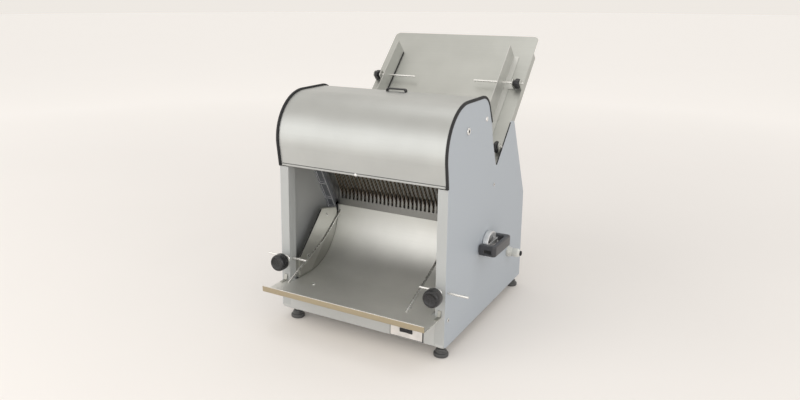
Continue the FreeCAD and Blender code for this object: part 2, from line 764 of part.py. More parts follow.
def infeed_chute():
    """Folded floor with bent-back side flanges, narrower where it passes between the blade guides."""
    start = chute_throat
    mouth = frame_bar_inner_x - 1.5
    throat = guide_inner_x - 1.0
    bars_end = 6.0
    right_half = [(mouth, 0.0), (mouth, bars_end), (throat, bars_end), (throat, start),
                  (chute_half_width, start), (chute_half_width, chute_length, chute_corner)]
    left_half = [(-p[0],) + p[1:] for p in right_half[::-1]]
    floor_outline = right_half + left_half
    pairs, radii = split_points(floor_outline)
    vertices = [FreeCAD.Vector(x, t, -cover_sheet) for x, t in pairs]
    floor = Part.Face(Part.Wire(edges_of(vertices, radii, True))).extrude(Z_AXIS * cover_sheet)
    flange = box(chute_half_width - cover_sheet, chute_half_width, start, chute_length - 60.0,
                 -chute_flange, 0.0)
    hem = box(-chute_half_width + 20, chute_half_width - 20, chute_length - cover_sheet, chute_length,
              -12.0, 0.0)
    lips = both_sides([flange])
    sheet = in_chute_frame(fused([floor, hem] + lips))
    holes = [rod_x(*chute_screw, chute_screw_shank, -half_width, half_width)]
    return sheet.cut(group(holes))


def rod_lugs():
    """Ears on the chute floor that hold the four guide rods."""
    lugs = []
    for t in (upper_rod_t, lower_rod_t):
        half = rod_lug_width / 2
        ear = plate([(t - half, 0.0), (t + half, 0.0), (t + half, loaf_rod_height + half, 7.0),
                     (t - half, loaf_rod_height + half, 7.0)],
                    chute_half_width - rod_lug_sheet, chute_half_width)
        ear = ear.cut(rod_x(t, loaf_rod_height, rod_radius, 0.0, half_width))
        lugs.append(in_chute_frame(ear))
    return group(both_sides(lugs))


def loaf_rods():
    rods = [in_chute_frame(rod_x(t, loaf_rod_height, rod_radius, half_width - loaf_rod_inset,
                                half_width + loaf_rod_stand))
            for t in (upper_rod_t, lower_rod_t)]
    return group(both_sides(rods))


def loaf_guide():
    """Right loaf guide: angle plate that slides on two rods, with the ear that its star knob presses on."""
    face = guide_plate_x
    wall = plate([(guide_plate_start, fit_gap), (guide_plate_end, fit_gap),
                  (guide_plate_end, guide_plate_height, 6.0), (guide_plate_start, guide_plate_height, 20.0)],
                 face, face + cover_sheet)
    foot = box(face, face + 16.0, guide_plate_start, guide_plate_end, fit_gap, fit_gap + cover_sheet)
    half = clamp_ear_length / 2
    low_t = upper_rod_t - half
    high_t = upper_rod_t + half
    ear_outer_x = clamp_ear_x + rod_lug_sheet
    arm = box(face, ear_outer_x, low_t, high_t, fit_gap, fit_gap + cover_sheet)
    ear_top = loaf_rod_height + half
    ear = plate([(low_t, fit_gap), (high_t, fit_gap), (high_t, ear_top, 7.0), (low_t, ear_top, 7.0)],
                clamp_ear_x, ear_outer_x)
    bores = [rod_x(t, loaf_rod_height, rod_radius + rod_slide_clearance, 0.0, half_width)
             for t in (upper_rod_t, lower_rod_t)]
    return in_chute_frame(fused([wall, foot, arm, ear]).cut(group(bores)))


def star_knob(size):
    """Three-lobed knob standing on its neck at the origin, axis up, bored for a guide rod."""
    star_radius, star_height, low = size
    reach = star_radius - star_lobe
    top = low + star_height
    lobes = [Part.makeCylinder(star_lobe, star_height,
                               FreeCAD.Vector(reach * math.cos(a), reach * math.sin(a), low))
             for a in (math.radians(90 + 120 * i) for i in range(3))]
    middle = Part.makeCylinder(reach, star_height, FreeCAD.Vector(0, 0, low))
    dome = turned([(0.0, low - 1), (star_radius + 1, low - 1), (star_radius, top, star_height * 0.7),
                   (0.0, top)], FreeCAD.Vector(0, 0, 0), Z_AXIS)
    head = fused([middle] + lobes).common(dome)
    neck = Part.makeCylinder(reach * 0.75, low + 1, FreeCAD.Vector(0, 0, 0))
    bore = Part.makeCylinder(rod_radius + rod_slide_clearance, top + 2, FreeCAD.Vector(0, 0, -1))
    return fused([head, neck]).cut(bore)


def upper_star_knob():
    """It turns on the upper rod, outside the right loaf guide's ear."""
    seat_x = clamp_ear_x + rod_lug_sheet + fit_gap
    knob = star_knob(upper_star)
    seat = FreeCAD.Vector(seat_x, upper_rod_t, loaf_rod_height)
    return in_chute_frame(placed(knob, seat, FreeCAD.Rotation(Y_AXIS, 90)))


def lower_star_knob():
    """It turns on the lower rod, against the edge lug."""
    seat_x = chute_half_width - rod_lug_sheet - fit_gap
    seat = FreeCAD.Vector(seat_x, lower_rod_t, loaf_rod_height)
    return in_chute_frame(placed(star_knob(lower_star), seat, FreeCAD.Rotation(Y_AXIS, -90)))


# ---- blade frames and their guides ---------------------------------------------------------------------

def frame_guide():
    """Right guide: ribbed front wall, web against the side panel, rear wall."""
    front = -frame_bar_gap - frame_bar_depth - fit_gap
    rear = -front
    outer = inner_x - 0.1
    body = box(guide_inner_x, outer, front - guide_front_wall, rear + guide_rear_wall, guide_foot, guide_head)
    channel = box(guide_inner_x - 1, outer - guide_web, front, rear, guide_foot - 1, guide_head + 1)
    toe = box(guide_inner_x, outer, front - guide_front_wall, front - guide_front_wall + guide_toe_depth,
              guide_foot - guide_toe, guide_foot + 1)
    cells = []
    low = guide_foot - guide_toe + guide_rib
    high = low + guide_end_cell
    while high < guide_head:
        cells.append(box(guide_inner_x + guide_rib, outer - guide_rib, front - guide_front_wall - 1,
                         front - guide_front_wall + guide_cell_depth, low, high))
        low = high + guide_rib
        high = low + guide_cell
    return in_blade_frame(fused([body, toe]).cut(group([channel] + cells)))


def across_plane(side, near, far):
    """Span across the blade plane, on the front (-1) or the rear (1) side of it."""
    return (near, far) if side > 0 else (-far, -near)


def blade_frame(side, legs):
    """One welded frame: two rails, two side bars, and the legs that the connecting rods drive."""
    far = frame_bar_gap + frame_bar_depth
    n_range = across_plane(side, frame_bar_gap, far)
    outer = frame_bar_inner_x + frame_bar_width
    bars = [box(frame_bar_inner_x, outer, *n_range, frame_shoulder, frame_top)]
    for x0 in legs:
        bars.append(box(x0, x0 + frame_leg, *n_range, frame_foot, frame_shoulder + 1))
    rail_n = across_plane(side, far - rail_depth, far)
    rails = [box(-frame_bar_inner_x - 1, frame_bar_inner_x + 1, *rail_n, low, low + rail_height)
             for low in (frame_foot, frame_top - rail_height)]
    return in_blade_frame(fused(both_sides(bars) + rails))


def blade_holders(side, blades_at):
    """Slotted lugs on a frame's rails; each pair holds the ends of one blade."""
    face = frame_bar_gap + frame_bar_depth - rail_depth
    n_range = across_plane(side, -blade_width / 2, face)
    slot_n = across_plane(side, -blade_width / 2 - 1, blade_width / 2)
    lugs = []
    for low in (frame_foot + lug_inset, frame_top - rail_height + lug_inset):
        for x in blades_at:
            lug = box(x - lug_width / 2, x + lug_width / 2, *n_range, low, low + lug_height)
            slot = box(x - blade_thickness / 2, x + blade_thickness / 2, *slot_n, blade_low, blade_high)
            lugs.append(in_blade_frame(lug.cut(slot)))
    return group(lugs)


def blade():
    """One blade at x = 0 in the blade frame: a strip with scalloped teeth on its rear edge."""
    front = -blade_width / 2
    rear = blade_width / 2
    outline = [(front, blade_low), (rear, blade_low), (rear, cut_start)]
    for i in range(round((cut_end - cut_start) / tooth_pitch)):
        foot = cut_start + i * tooth_pitch
        outline.append((rear - tooth_depth, foot + tooth_pitch / 2))
        outline.append((rear, foot + tooth_pitch))
    outline += [(rear, blade_high), (front, blade_high)]
    return plate(outline, -blade_thickness / 2, blade_thickness / 2)


def blades(xs):
    strip = blade()
    return group([placed(strip, blade_base + FreeCAD.Vector(x, 0, 0), blade_turn) for x in xs])


# ---- drive -----------------------------------------------------------------------------------------------

def crank_shaft():
    """Shaft across the machine, with its squared right end for the hub."""
    left = -inner_x + 1.0
    right = half_width + hub_gap + hub_width - hub_recess
    return rod_x(crank_y, crank_z, shaft_radius, left, right)


def eccentric_centre(side):
    offset = blade_turn.multVec(FreeCAD.Vector(0, side * throw, 0))
    return crank_y + offset.y, crank_z + offset.z


def eccentrics():
    discs = []
    middle_x = rear_rod_x - fit_gap / 2
    for side, x0, x1 in ((-1, front_rod_x, middle_x), (1, middle_x, rear_rod_x + rod_width)):
        y, z = eccentric_centre(side)
        disc = rod_x(y, z, eccentric_radius, x0, x1)
        discs.append(disc.cut(rod_x(crank_y, crank_z, shaft_radius, x0 - 1, x1 + 1)))
    return group(both_sides(discs))


def connecting_rod(side):
    """Right rod of one frame: strap round its eccentric, shank, eye with its wrist pin drawn back."""
    x0 = front_rod_x if side < 0 else rear_rod_x
    x1 = x0 + rod_width
    big_y, big_z = eccentric_centre(side)
    eye_y, eye_z = blade_point(side * wrist_n, wrist_s)
    strap = rod_x(big_y, big_z, strap_radius, x0, x1)
    eye = rod_x(eye_y, eye_z, eye_radius, x0, x1)
    big = FreeCAD.Vector(x0, big_y, big_z)
    along = FreeCAD.Vector(x0, eye_y, eye_z) - big
    turn = FreeCAD.Rotation(Z_AXIS, along)
    shank = Part.makeBox(rod_width, rod_shank, along.Length)
    shank = placed(shank, big + turn.multVec(FreeCAD.Vector(0, -rod_shank / 2, 0)), turn)
    rod = fused([strap, eye, shank.common(box(x0, x1, 0, body_depth, 0, body_depth))])
    rod = rod.cut(group([rod_x(big_y, big_z, eccentric_radius + running_clearance, x0 - 1, x1 + 1),
                         rod_x(eye_y, eye_z, wrist_radius, x0 - 1, x1 + 1)]))
    return [rod, rod_x(eye_y, eye_z, wrist_radius, x0, x1)]


def shaft_bearings():
    """Flanged housings inside the side panels."""
    outer = inner_x - 0.1
    profile = [(shaft_radius + running_clearance, 0.0), (bearing_radius, 0.0), (bearing_radius, 3.0),
               (bearing_radius * 0.7, 4.5), (bearing_radius * 0.7, bearing_width, 1.5),
               (shaft_radius + running_clearance, bearing_width)]
    housing = turned(profile, FreeCAD.Vector(outer, crank_y, crank_z), FreeCAD.Vector(-1, 0, 0))
    return group(both_sides([housing]))


def flanged_pulley(y, z, land, bore):
    """Pulley between two flanges, axis along x."""
    half = pulley_width / 2
    groove = half - pulley_flange_width
    rim = land + pulley_flange
    profile = [(bore, -half), (rim, -half), (rim, -groove), (land, -groove), (land, groove), (rim, groove),
               (rim, half), (bore, half)]
    return turned(profile, FreeCAD.Vector(pulley_x, y, z), X_AXIS)


def belt_loop(rise):
    """Solid bounded by a belt line that lies this far off both pulleys' lands."""
    big = pulley_radius + rise
    small = motor_pulley_radius + rise
    low_x = pulley_x - belt_width / 2
    crank = FreeCAD.Vector(low_x, crank_y, crank_z)
    motor = FreeCAD.Vector(low_x, motor_y, motor_z)
    along = (motor - crank).normalize()
    lean = (big - small) / (motor - crank).Length
    across = X_AXIS.cross(along) * math.sqrt(1 - lean * lean)
    upper = along * lean + across
    lower = along * lean - across
    edges = [Part.LineSegment(crank + upper * big, motor + upper * small).toShape(),
             Part.Arc(motor + upper * small, motor + along * small, motor + lower * small).toShape(),
             Part.LineSegment(motor + lower * small, crank + lower * big).toShape(),
             Part.Arc(crank + lower * big, crank - along * big, crank + upper * big).toShape()]
    return Part.Face(Part.Wire(edges)).extrude(X_AXIS * belt_width)


def drive_belt():
    return belt_loop(fit_gap + belt_thickness).cut(belt_loop(fit_gap))


def drive_motor():
    """Geared motor: gearbox with its nose towards the belt, ribbed can and fan cowl."""
    bore = motor_shaft_radius + running_clearance
    profile = [(bore, 0.0), (motor_radius * 0.45, 0.0, 2.0), (motor_radius * 0.45, 8.0),
               (motor_radius * 0.8, 8.0, 4.0), (motor_radius * 0.8, gearbox_length),
               (motor_radius, gearbox_length + 4.0)]
    ribs = 7
    rib_span = (motor_length - gearbox_length - 50.0) / ribs
    for i in range(ribs):
        h = gearbox_length + 10.0 + i * rib_span
        profile += [(motor_radius, h), (motor_radius - 4.0, h), (motor_radius - 4.0, h + rib_span * 0.4),
                    (motor_radius, h + rib_span * 0.4)]
    profile += [(motor_radius, motor_length, 12.0), (0.0, motor_length), (0.0, 20.0), (bore, 20.0)]
    return turned(profile, FreeCAD.Vector(motor_nose_x, motor_y, motor_z), X_AXIS)


def motor_bracket():
    """Saddle plates on the base that carry the motor."""
    top = motor_z - motor_radius * 0.35
    half = motor_radius * 0.85
    can = rod_x(motor_y, motor_z, motor_radius + 0.1, -half_width, half_width)
    saddles = []
    for depth in (gearbox_length + 22.0, motor_length - 30.0):
        x0 = motor_nose_x + depth
        outline = [(motor_y - half, base_sheet), (motor_y + half, base_sheet),
                   (motor_y + half * 0.8, top, 6.0), (motor_y - half * 0.8, top, 6.0)]
        saddles.append(plate(outline, x0, x0 + 5.0))
    rail = box(motor_nose_x + gearbox_length, motor_nose_x + motor_length - 20.0, motor_y - half,
               motor_y + half, base_sheet, base_sheet + 3.0)
    return fused(saddles + [rail]).cut(can)


def motor_shaft():
    return rod_x(motor_y, motor_z, motor_shaft_radius, pulley_x - pulley_width / 2 - 2.0, motor_nose_x + 19.0)


# ---- crank ----------------------------------------------------------------------------------------------

def crank_hub():
    """Rimmed disc on the shaft's end, outside the right panel."""
    profile = [(shaft_radius, 0.0), (hub_radius, 0.0, 1.5), (hub_radius, hub_width, 1.0),
               (hub_radius - hub_rim, hub_width, 1.0), (hub_radius - hub_rim - 1.0, hub_width - hub_recess),
               (shaft_radius, hub_width - hub_recess)]
    return turned(profile, FreeCAD.Vector(half_width + hub_gap, crank_y, crank_z), X_AXIS)


def crank_bar():
    """Flat bar across the hub that carries both ends of the grip."""
    half = grip_length / 2 - grip_wall
    width = crank_bar_width / 2
    bar = plate([(crank_y - half, crank_z - width, 2.0), (crank_y + half, crank_z - width, 2.0),
                 (crank_y + half, crank_z + width, 2.0), (crank_y - half, crank_z + width, 2.0)],
                hub_face_x, hub_face_x + crank_bar_sheet)
    reach = hub_radius - hub_rim / 2
    holes = [rod_x(crank_y + side * reach, crank_z, 1.5, hub_face_x - 1, hub_face_x + crank_bar_sheet + 1)
             for side in (-1, 1)]
    return bar.cut(group(holes))


def crank_grip():
    """Bow grip: two arms that box in the ends of the bar, joined by a bar for the hand."""
    half = grip_length / 2
    foot = grip_foot_x
    top = half_width + grip_stand
    outline = [(-half, foot, 2.0), (-half, top, 9.0), (half, top, 9.0), (half, foot, 2.0),
               (half - grip_arm, foot, 2.0), (half - grip_arm, top - grip_bar, 7.0),
               (-half + grip_arm, top - grip_bar, 7.0), (-half + grip_arm, foot, 2.0)]
    pairs, radii = split_points(outline)
    vertices = [FreeCAD.Vector(x, crank_y + y, crank_z - grip_height / 2) for y, x in pairs]
    bow = Part.Face(Part.Wire(edges_of(vertices, radii, True))).extrude(Z_AXIS * grip_height)
    rims = [e for e in bow.Edges if abs(e.BoundBox.ZLength) < 1e-6 and e.BoundBox.XMin > foot + 3.0]
    bow = bow.makeFillet(grip_round, rims)
    slot_half = crank_bar_width / 2 + 0.1
    slot_end = half - grip_wall + 0.1
    slot = box(hub_face_x - 0.1, hub_face_x + crank_bar_sheet + 0.1, crank_y - slot_end, crank_y + slot_end,
               crank_z - slot_half, crank_z + slot_half)
    return bow.cut(slot)


def crank_screws():
    """Two screws that hold the bar on the hub's rim."""
    reach = hub_radius - hub_rim / 2
    heads = [screw(2.4, 1.8, 1.5, crank_bar_sheet,
                   FreeCAD.Vector(hub_face_x + crank_bar_sheet, crank_y + side * reach, crank_z), X_AXIS)
             for side in (-1, 1)]
    return group(heads)


# ---- feet and electrics -----------------------------------------------------------------------------------

def foot_places():
    return [(x, y) for x in (foot_left_x, foot_right_x) for y in (foot_front_y, foot_rear_y)]


def feet():
    """Rubber bells with a step for the stud's collar."""
    neck_top = foot_height - foot_collar
    profile = [(0.0, 0.0), (foot_radius, 0.0, 2.0), (foot_radius, foot_skirt, 3.0),
               (foot_radius * 0.66, foot_shoulder, 2.0), (foot_radius * 0.6, neck_top, 2.0),
               (foot_stud_radius, neck_top), (foot_stud_radius, foot_sole), (0.0, foot_sole)]
    return group([turned(profile, FreeCAD.Vector(x, y, -foot_height), Z_AXIS) for x, y in foot_places()])


def foot_studs():
    """Threaded studs with a nut below and a nut above the base plate."""
    studs = []
    for x, y in foot_places():
        stud = Part.makeCylinder(foot_stud_radius, foot_height + base_sheet - 1.0,
                                 FreeCAD.Vector(x, y, foot_sole - foot_height))
        nuts = [hexagon(8.5, 6.0, FreeCAD.Vector(x, y, low)) for low in (-6.0, base_sheet)]
        studs.append(fused([stud] + nuts))
    return group(studs)


def hexagon(half_flats, height, base):
    radius = half_flats / math.cos(math.pi / 6)
    angles = [math.radians(60 * i) for i in range(7)]
    corners = [base + FreeCAD.Vector(radius * math.cos(a), radius * math.sin(a), 0) for a in angles]
    return Part.Face(Part.makePolygon(corners)).extrude(Z_AXIS * height)


def around_switch(half_length, half_height, y0, y1):
    return box(switch_x - half_length, switch_x + half_length, y0, y1,
               switch_z - half_height, switch_z + half_height)


def switch_plate():
    """Plate on the lower front panel with the rocker's socket behind it."""
    frame = around_switch(switch_width / 2, switch_height / 2, -switch_stand, 0.0)
    well_x = rocker_length / 2 + rocker_gap_x
    well_z = rocker_height / 2 + rocker_gap_z
    socket = around_switch(well_x + socket_wall, well_z + socket_wall, 0.0, socket_depth)
    well = around_switch(well_x, well_z, -switch_stand - 1.0, socket_depth - 2 * socket_wall)
    return fused([frame, socket]).cut(group([well, rocker_pins(running_clearance)]))


def rocker_pins(clearance):
    """The rocker's upright pivot pin, or its bore in the socket."""
    length = rocker_height + 2 * (rocker_pin_reach + clearance)
    foot = FreeCAD.Vector(switch_x, rocker_pivot_y, switch_z - length / 2)
    return Part.makeCylinder(rocker_pin_radius + clearance, length, foot)


def switch_rocker():
    """Rocker that tilts about its upright middle line."""
    half = rocker_length / 2
    front = -switch_stand - rocker_stand
    vertices = [(-half, -switch_stand + 0.8), (-half, front), (0.0, front + 1.6), (half, front),
                (half, -switch_stand + 0.8), (0.0, 4.0)]
    corners = [FreeCAD.Vector(switch_x + x, y, switch_z - rocker_height / 2) for x, y in vertices]
    body = Part.Face(Part.makePolygon(corners + corners[:1])).extrude(Z_AXIS * rocker_height)
    return fused([body, rocker_pins(0.0)])


def cable_gland():
    """Gland: flange nut against the panel, body, domed cap; bored for a lead."""
    base = FreeCAD.Vector(half_width, gland_y, gland_z)
    body = turned([(gland_bore, -panel_sheet), (gland_radius - 3.0, -panel_sheet), (gland_radius - 3.0, 0.0),
                   (gland_radius, 0.0), (gland_radius, 12.0, 1.0), (gland_radius - 1.5, 13.0),
                   (gland_radius - 1.5, 17.0), (gland_radius, 18.0, 1.0), (gland_radius, gland_length, 8.0),
                   (gland_bore, gland_length)], base, X_AXIS)
    collar = hexagon(gland_radius + 1.5, 6.0, FreeCAD.Vector(0, 0, 0))
    collar = placed(collar, base, FreeCAD.Rotation(Z_AXIS, X_AXIS))
    body_room = rod_x(gland_y, gland_z, gland_radius - 1.0, half_width - 1, half_width + gland_length)
    collar = collar.cut(body_room)
    return fused([body, collar])


def gland_seal():
    return rod_x(gland_y, gland_z, gland_bore, half_width + 6.0, half_width + gland_length - 1.0)


# ---- the nodes -----------------------------------------------------------------------------------------

def build_nodes():
    left_panel, right_panel = side_panels()
    inner_leg = frame_bar_inner_x
    knob = clamp_knob()
    upper_star = upper_star_knob()
    lower_star = lower_star_knob()
    wires = wire_guide()
    loaf = loaf_guide()
    cheek = cheek_plate()
    guide = frame_guide()
    trim = edge_trim()
    return {
        "left_side_panel": left_panel,
        "right_side_panel": right_panel,
        "lower_front_panel": lower_front_panel(),
        "base_plate": base_plate(),
        "rear_panel": rear_panel(),
        "tie_bars": tie_bars(),
        "casing_screws": casing_screws(),
        "left_edge_trim": mirrored(trim),
        "right_edge_trim": trim,
        "hood_cover": hood_cover(),
        "hood_handle": hood_handle(),
        "hood_pivots": hood_pivots(),
        "outfeed_tray": outfeed_tray(),
        "tray_hooks": tray_hooks(),
        "comb_plate": comb_plate(),
        "left_cheek_plate": mirrored(cheek),
        "right_cheek_plate": cheek,
        "cheek_strips": cheek_strips(),
        "left_wire_guide": mirrored(wires),
        "right_wire_guide": wires,
        "clamp_blocks": clamp_blocks(),
        "left_clamp_knob": mirrored(knob),
        "right_clamp_knob": knob,
        "infeed_chute": infeed_chute(),
        "rod_lugs": rod_lugs(),
        "loaf_guide_rods": loaf_rods(),
        "left_loaf_guide": mirrored(loaf),
        "right_loaf_guide": loaf,
        "upper_left_star_knob": mirrored(upper_star),
        "upper_right_star_knob": upper_star,
        "lower_left_star_knob": mirrored(lower_star),
        "lower_right_star_knob": lower_star,
        "left_frame_guide": mirrored(guide),
        "right_frame_guide": guide,
        "front_blade_frame": blade_frame(-1, [inner_leg]),
        "front_blade_holders": blade_holders(-1, blades_a_xs),
        "front_blades": blades(blades_a_xs),
        "rear_blade_frame": blade_frame(1, [inner_leg, rear_tongue_x]),
        "rear_blade_holders": blade_holders(1, blades_b_xs),
        "rear_blades": blades(blades_b_xs),
        "crank_shaft": crank_shaft(),
        "eccentrics": eccentrics(),
        "front_connecting_rods": group(both_sides(connecting_rod(-1))),
        "rear_connecting_rods": group(both_sides(connecting_rod(1))),
        "shaft_bearings": shaft_bearings(),
        "driven_pulley": flanged_pulley(crank_y, crank_z, pulley_radius, shaft_radius),
        "drive_belt": drive_belt(),
        "motor_rotor": group([flanged_pulley(motor_y, motor_z, motor_pulley_radius, motor_shaft_radius),
                              motor_shaft()]),
        "drive_motor": drive_motor(),
        "motor_bracket": motor_bracket(),
        "crank_hub": crank_hub(),
        "crank_bar": crank_bar(),
        "crank_grip": crank_grip(),
        "crank_screws": crank_screws(),
        "feet": feet(),
        "foot_studs": foot_studs(),
        "switch_plate": switch_plate(),
        "switch_rocker": switch_rocker(),
        "cable_gland": cable_gland(),
        "gland_seal": gland_seal(),
    }


def write_nodes():
    os.makedirs("parts", exist_ok=True)
    shift = FreeCAD.Vector(0, -foot_centre_y, foot_height)
    nodes = build_nodes()
    for name, shape in nodes.items():
        shape.translate(shift)
        shape.exportStep("parts/%s.step" % name)
    return nodes


NODES = write_nodes()
print("nodes", len(NODES))
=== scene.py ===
import json
import math

import bmesh
import bpy
from mathutils import Matrix, Vector


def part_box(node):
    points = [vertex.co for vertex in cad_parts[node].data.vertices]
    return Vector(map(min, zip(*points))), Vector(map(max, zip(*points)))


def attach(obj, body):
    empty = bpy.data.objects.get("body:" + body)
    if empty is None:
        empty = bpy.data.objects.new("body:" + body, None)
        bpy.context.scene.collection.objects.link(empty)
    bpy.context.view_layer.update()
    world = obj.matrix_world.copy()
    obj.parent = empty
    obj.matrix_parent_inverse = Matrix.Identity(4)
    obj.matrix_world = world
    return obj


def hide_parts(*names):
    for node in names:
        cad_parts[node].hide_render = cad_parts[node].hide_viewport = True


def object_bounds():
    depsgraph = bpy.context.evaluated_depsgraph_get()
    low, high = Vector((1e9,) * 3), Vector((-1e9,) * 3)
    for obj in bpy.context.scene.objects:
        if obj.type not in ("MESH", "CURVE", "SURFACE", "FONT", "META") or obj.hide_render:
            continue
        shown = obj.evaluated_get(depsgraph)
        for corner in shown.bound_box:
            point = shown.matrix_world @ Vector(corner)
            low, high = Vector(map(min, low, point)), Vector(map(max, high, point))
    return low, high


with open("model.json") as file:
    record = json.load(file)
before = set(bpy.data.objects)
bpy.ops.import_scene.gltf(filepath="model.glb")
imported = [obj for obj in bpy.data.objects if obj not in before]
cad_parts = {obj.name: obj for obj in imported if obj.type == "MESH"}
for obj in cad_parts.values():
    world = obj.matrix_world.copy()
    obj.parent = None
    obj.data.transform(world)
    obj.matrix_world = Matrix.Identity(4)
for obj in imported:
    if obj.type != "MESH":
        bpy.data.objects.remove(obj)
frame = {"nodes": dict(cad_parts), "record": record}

NODES = frame["nodes"]
SLOTS = {entry["node"]: entry["material_slot"] for entry in frame["record"]["subparts"]}


def as_lists(bounds):
    """Corners of a box as plain lists of numbers."""
    return [[float(v) for v in corner] for corner in bounds]


CAD_BOX = as_lists(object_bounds())
MM = 0.001
SIDES = (("left", -1.0), ("right", 1.0))
FORWARD = (0.0, -1.0, 0.0)
REARWARD = (0.0, 1.0, 0.0)
UPWARD = (0.0, 0.0, 1.0)


# ---- materials: small helpers -------------------------------------------------------------------

EVEN = (1.0, 1.0, 1.0)              # noise as fine along each axis
NOISE_LOW, NOISE_HIGH = 0.3, 0.7    # what noise usually spans
RAMP_START, RAMP_END = 0.35, 0.65   # where a colour ramp starts and ends on it
LINE_DEPTH = 0.0004                 # distances of the bump nodes, in metres
GRAIN_DEPTH = 0.0003
TOOTH_DEPTH = 0.0006
WAVE_PERIOD = 0.314                 # of the wave texture at scale 1, in metres
COAT_START = 0.6 * MM               # the outer coat sets in this far inside the panel's face
COAT_FULL = 0.3 * MM


def new_material(name):
    """An empty node material with its Principled shader wired to the output."""
    material = bpy.data.materials.new(name)
    material.use_nodes = True
    tree = material.node_tree
    tree.nodes.clear()
    shader = tree.nodes.new("ShaderNodeBsdfPrincipled")
    output = tree.nodes.new("ShaderNodeOutputMaterial")
    tree.links.new(shader.outputs["BSDF"], output.inputs["Surface"])
    return material, tree, shader


def object_noise(tree, stretch, scale, detail=4.0, roughness=0.55):
    """Noise over the piece's own coordinates, stretched by a Mapping node."""
    coords = tree.nodes.new("ShaderNodeTexCoord")
    mapping = tree.nodes.new("ShaderNodeMapping")
    mapping.inputs["Scale"].default_value = stretch
    noise = tree.nodes.new("ShaderNodeTexNoise")
    noise.inputs["Scale"].default_value = scale
    noise.inputs["Detail"].default_value = detail
    noise.inputs["Roughness"].default_value = roughness
    tree.links.new(coords.outputs["Object"], mapping.inputs["Vector"])
    tree.links.new(mapping.outputs["Vector"], noise.inputs["Vector"])
    return noise.outputs["Fac"]


def ranged(tree, source, low, high, from_low=NOISE_LOW, from_high=NOISE_HIGH):
    """Source's useful span, remapped to low and high."""
    span = tree.nodes.new("ShaderNodeMapRange")
    span.inputs["From Min"].default_value = from_low
    span.inputs["From Max"].default_value = from_high
    span.inputs["To Min"].default_value = low
    span.inputs["To Max"].default_value = high
    tree.links.new(source, span.inputs["Value"])
    return span.outputs["Result"]


def tinted(tree, source, dark, light):
    """Colour ramp between two colours."""
    ramp = tree.nodes.new("ShaderNodeValToRGB")
    for element, place, colour in zip(ramp.color_ramp.elements, (RAMP_START, RAMP_END),
                                      (dark, light)):
        element.position = place
        element.color = (*colour, 1.0)
    tree.links.new(source, ramp.inputs["Fac"])
    return ramp.outputs["Color"]


def varied(tree, source, colour, darkest, lightest):
    """Colour that source takes from darkest to lightest times its own brightness."""
    return tinted(tree, source, *(tuple(min(1.0, c * factor) for c in colour)
                                  for factor in (darkest, lightest)))


def bumped(tree, shader, source, strength, distance):
    """Source as relief on the shader's normal."""
    bump = tree.nodes.new("ShaderNodeBump")
    bump.inputs["Strength"].default_value = strength
    bump.inputs["Distance"].default_value = distance
    tree.links.new(source, bump.inputs["Height"])
    tree.links.new(bump.outputs["Normal"], shader.inputs["Normal"])


def math_node(tree, operation, *sources):
    """Result of a Math node on one or two sockets."""
    node = tree.nodes.new("ShaderNodeMath")
    node.operation = operation
    for place, source in enumerate(sources):
        tree.links.new(source, node.inputs[place])
    return node.outputs["Value"]


def along_axis(tree, axis, start, end):
    """0 at start and 1 at end along one of the piece's own axes, in metres; X counts both ways."""
    coords = tree.nodes.new("ShaderNodeTexCoord")
    split = tree.nodes.new("ShaderNodeSeparateXYZ")
    tree.links.new(coords.outputs["Object"], split.inputs["Vector"])
    place = split.outputs[axis]
    if axis == "X":
        place = math_node(tree, "ABSOLUTE", place)
    return ranged(tree, place, 0.0, 1.0, start, end)


def blended(tree, factor, first, second):
    """Colour mix of two sockets or colours."""
    mix = tree.nodes.new("ShaderNodeMix")
    mix.data_type = "RGBA"
    tree.links.new(factor, mix.inputs["Factor"])
    for socket, value in (("A", first), ("B", second)):
        target = [s for s in mix.inputs if s.name == socket and s.type == "RGBA"][0]
        if isinstance(value, tuple):
            target.default_value = (*value, 1.0)
        else:
            tree.links.new(value, target)
    return [s for s in mix.outputs if s.type == "RGBA"][0]


# ---- materials: kinds ---------------------------------------------------------------------------

def brushed_metal(name, colour, grain, roughness, lip=None):
    """Brushed sheet: fine lines along the axis where grain is small; lip paints a colour on one
    end, used for a painted reflection.
    """
    material, tree, shader = new_material(name)
    lines = object_noise(tree, grain, scale=1.0, detail=5.0, roughness=0.7)
    clouds = object_noise(tree, EVEN, scale=7.0, detail=3.0)
    shade = varied(tree, clouds, colour, darkest=0.95, lightest=1.03)
    # Painted reflection: near one end the lip's colour replaces the steel's.
    if lip:
        axis, start, end, tint = lip
        shade = blended(tree, along_axis(tree, axis, start, end), tint, shade)
    shader.inputs["Metallic"].default_value = 1.0
    tree.links.new(shade, shader.inputs["Base Color"])
    tree.links.new(ranged(tree, lines, *roughness), shader.inputs["Roughness"])
    bumped(tree, shader, lines, strength=0.10, distance=LINE_DEPTH)
    return material


def polished_metal(name, colour, roughness):
    """Turned or plated steel with faint handling marks."""
    material, tree, shader = new_material(name)
    marks = object_noise(tree, EVEN, scale=60.0, detail=3.0)
    shader.inputs["Metallic"].default_value = 1.0
    tree.links.new(varied(tree, marks, colour, darkest=0.93, lightest=1.0),
                   shader.inputs["Base Color"])
    tree.links.new(ranged(tree, marks, *roughness), shader.inputs["Roughness"])
    bumped(tree, shader, marks, strength=0.04, distance=GRAIN_DEPTH)
    return material


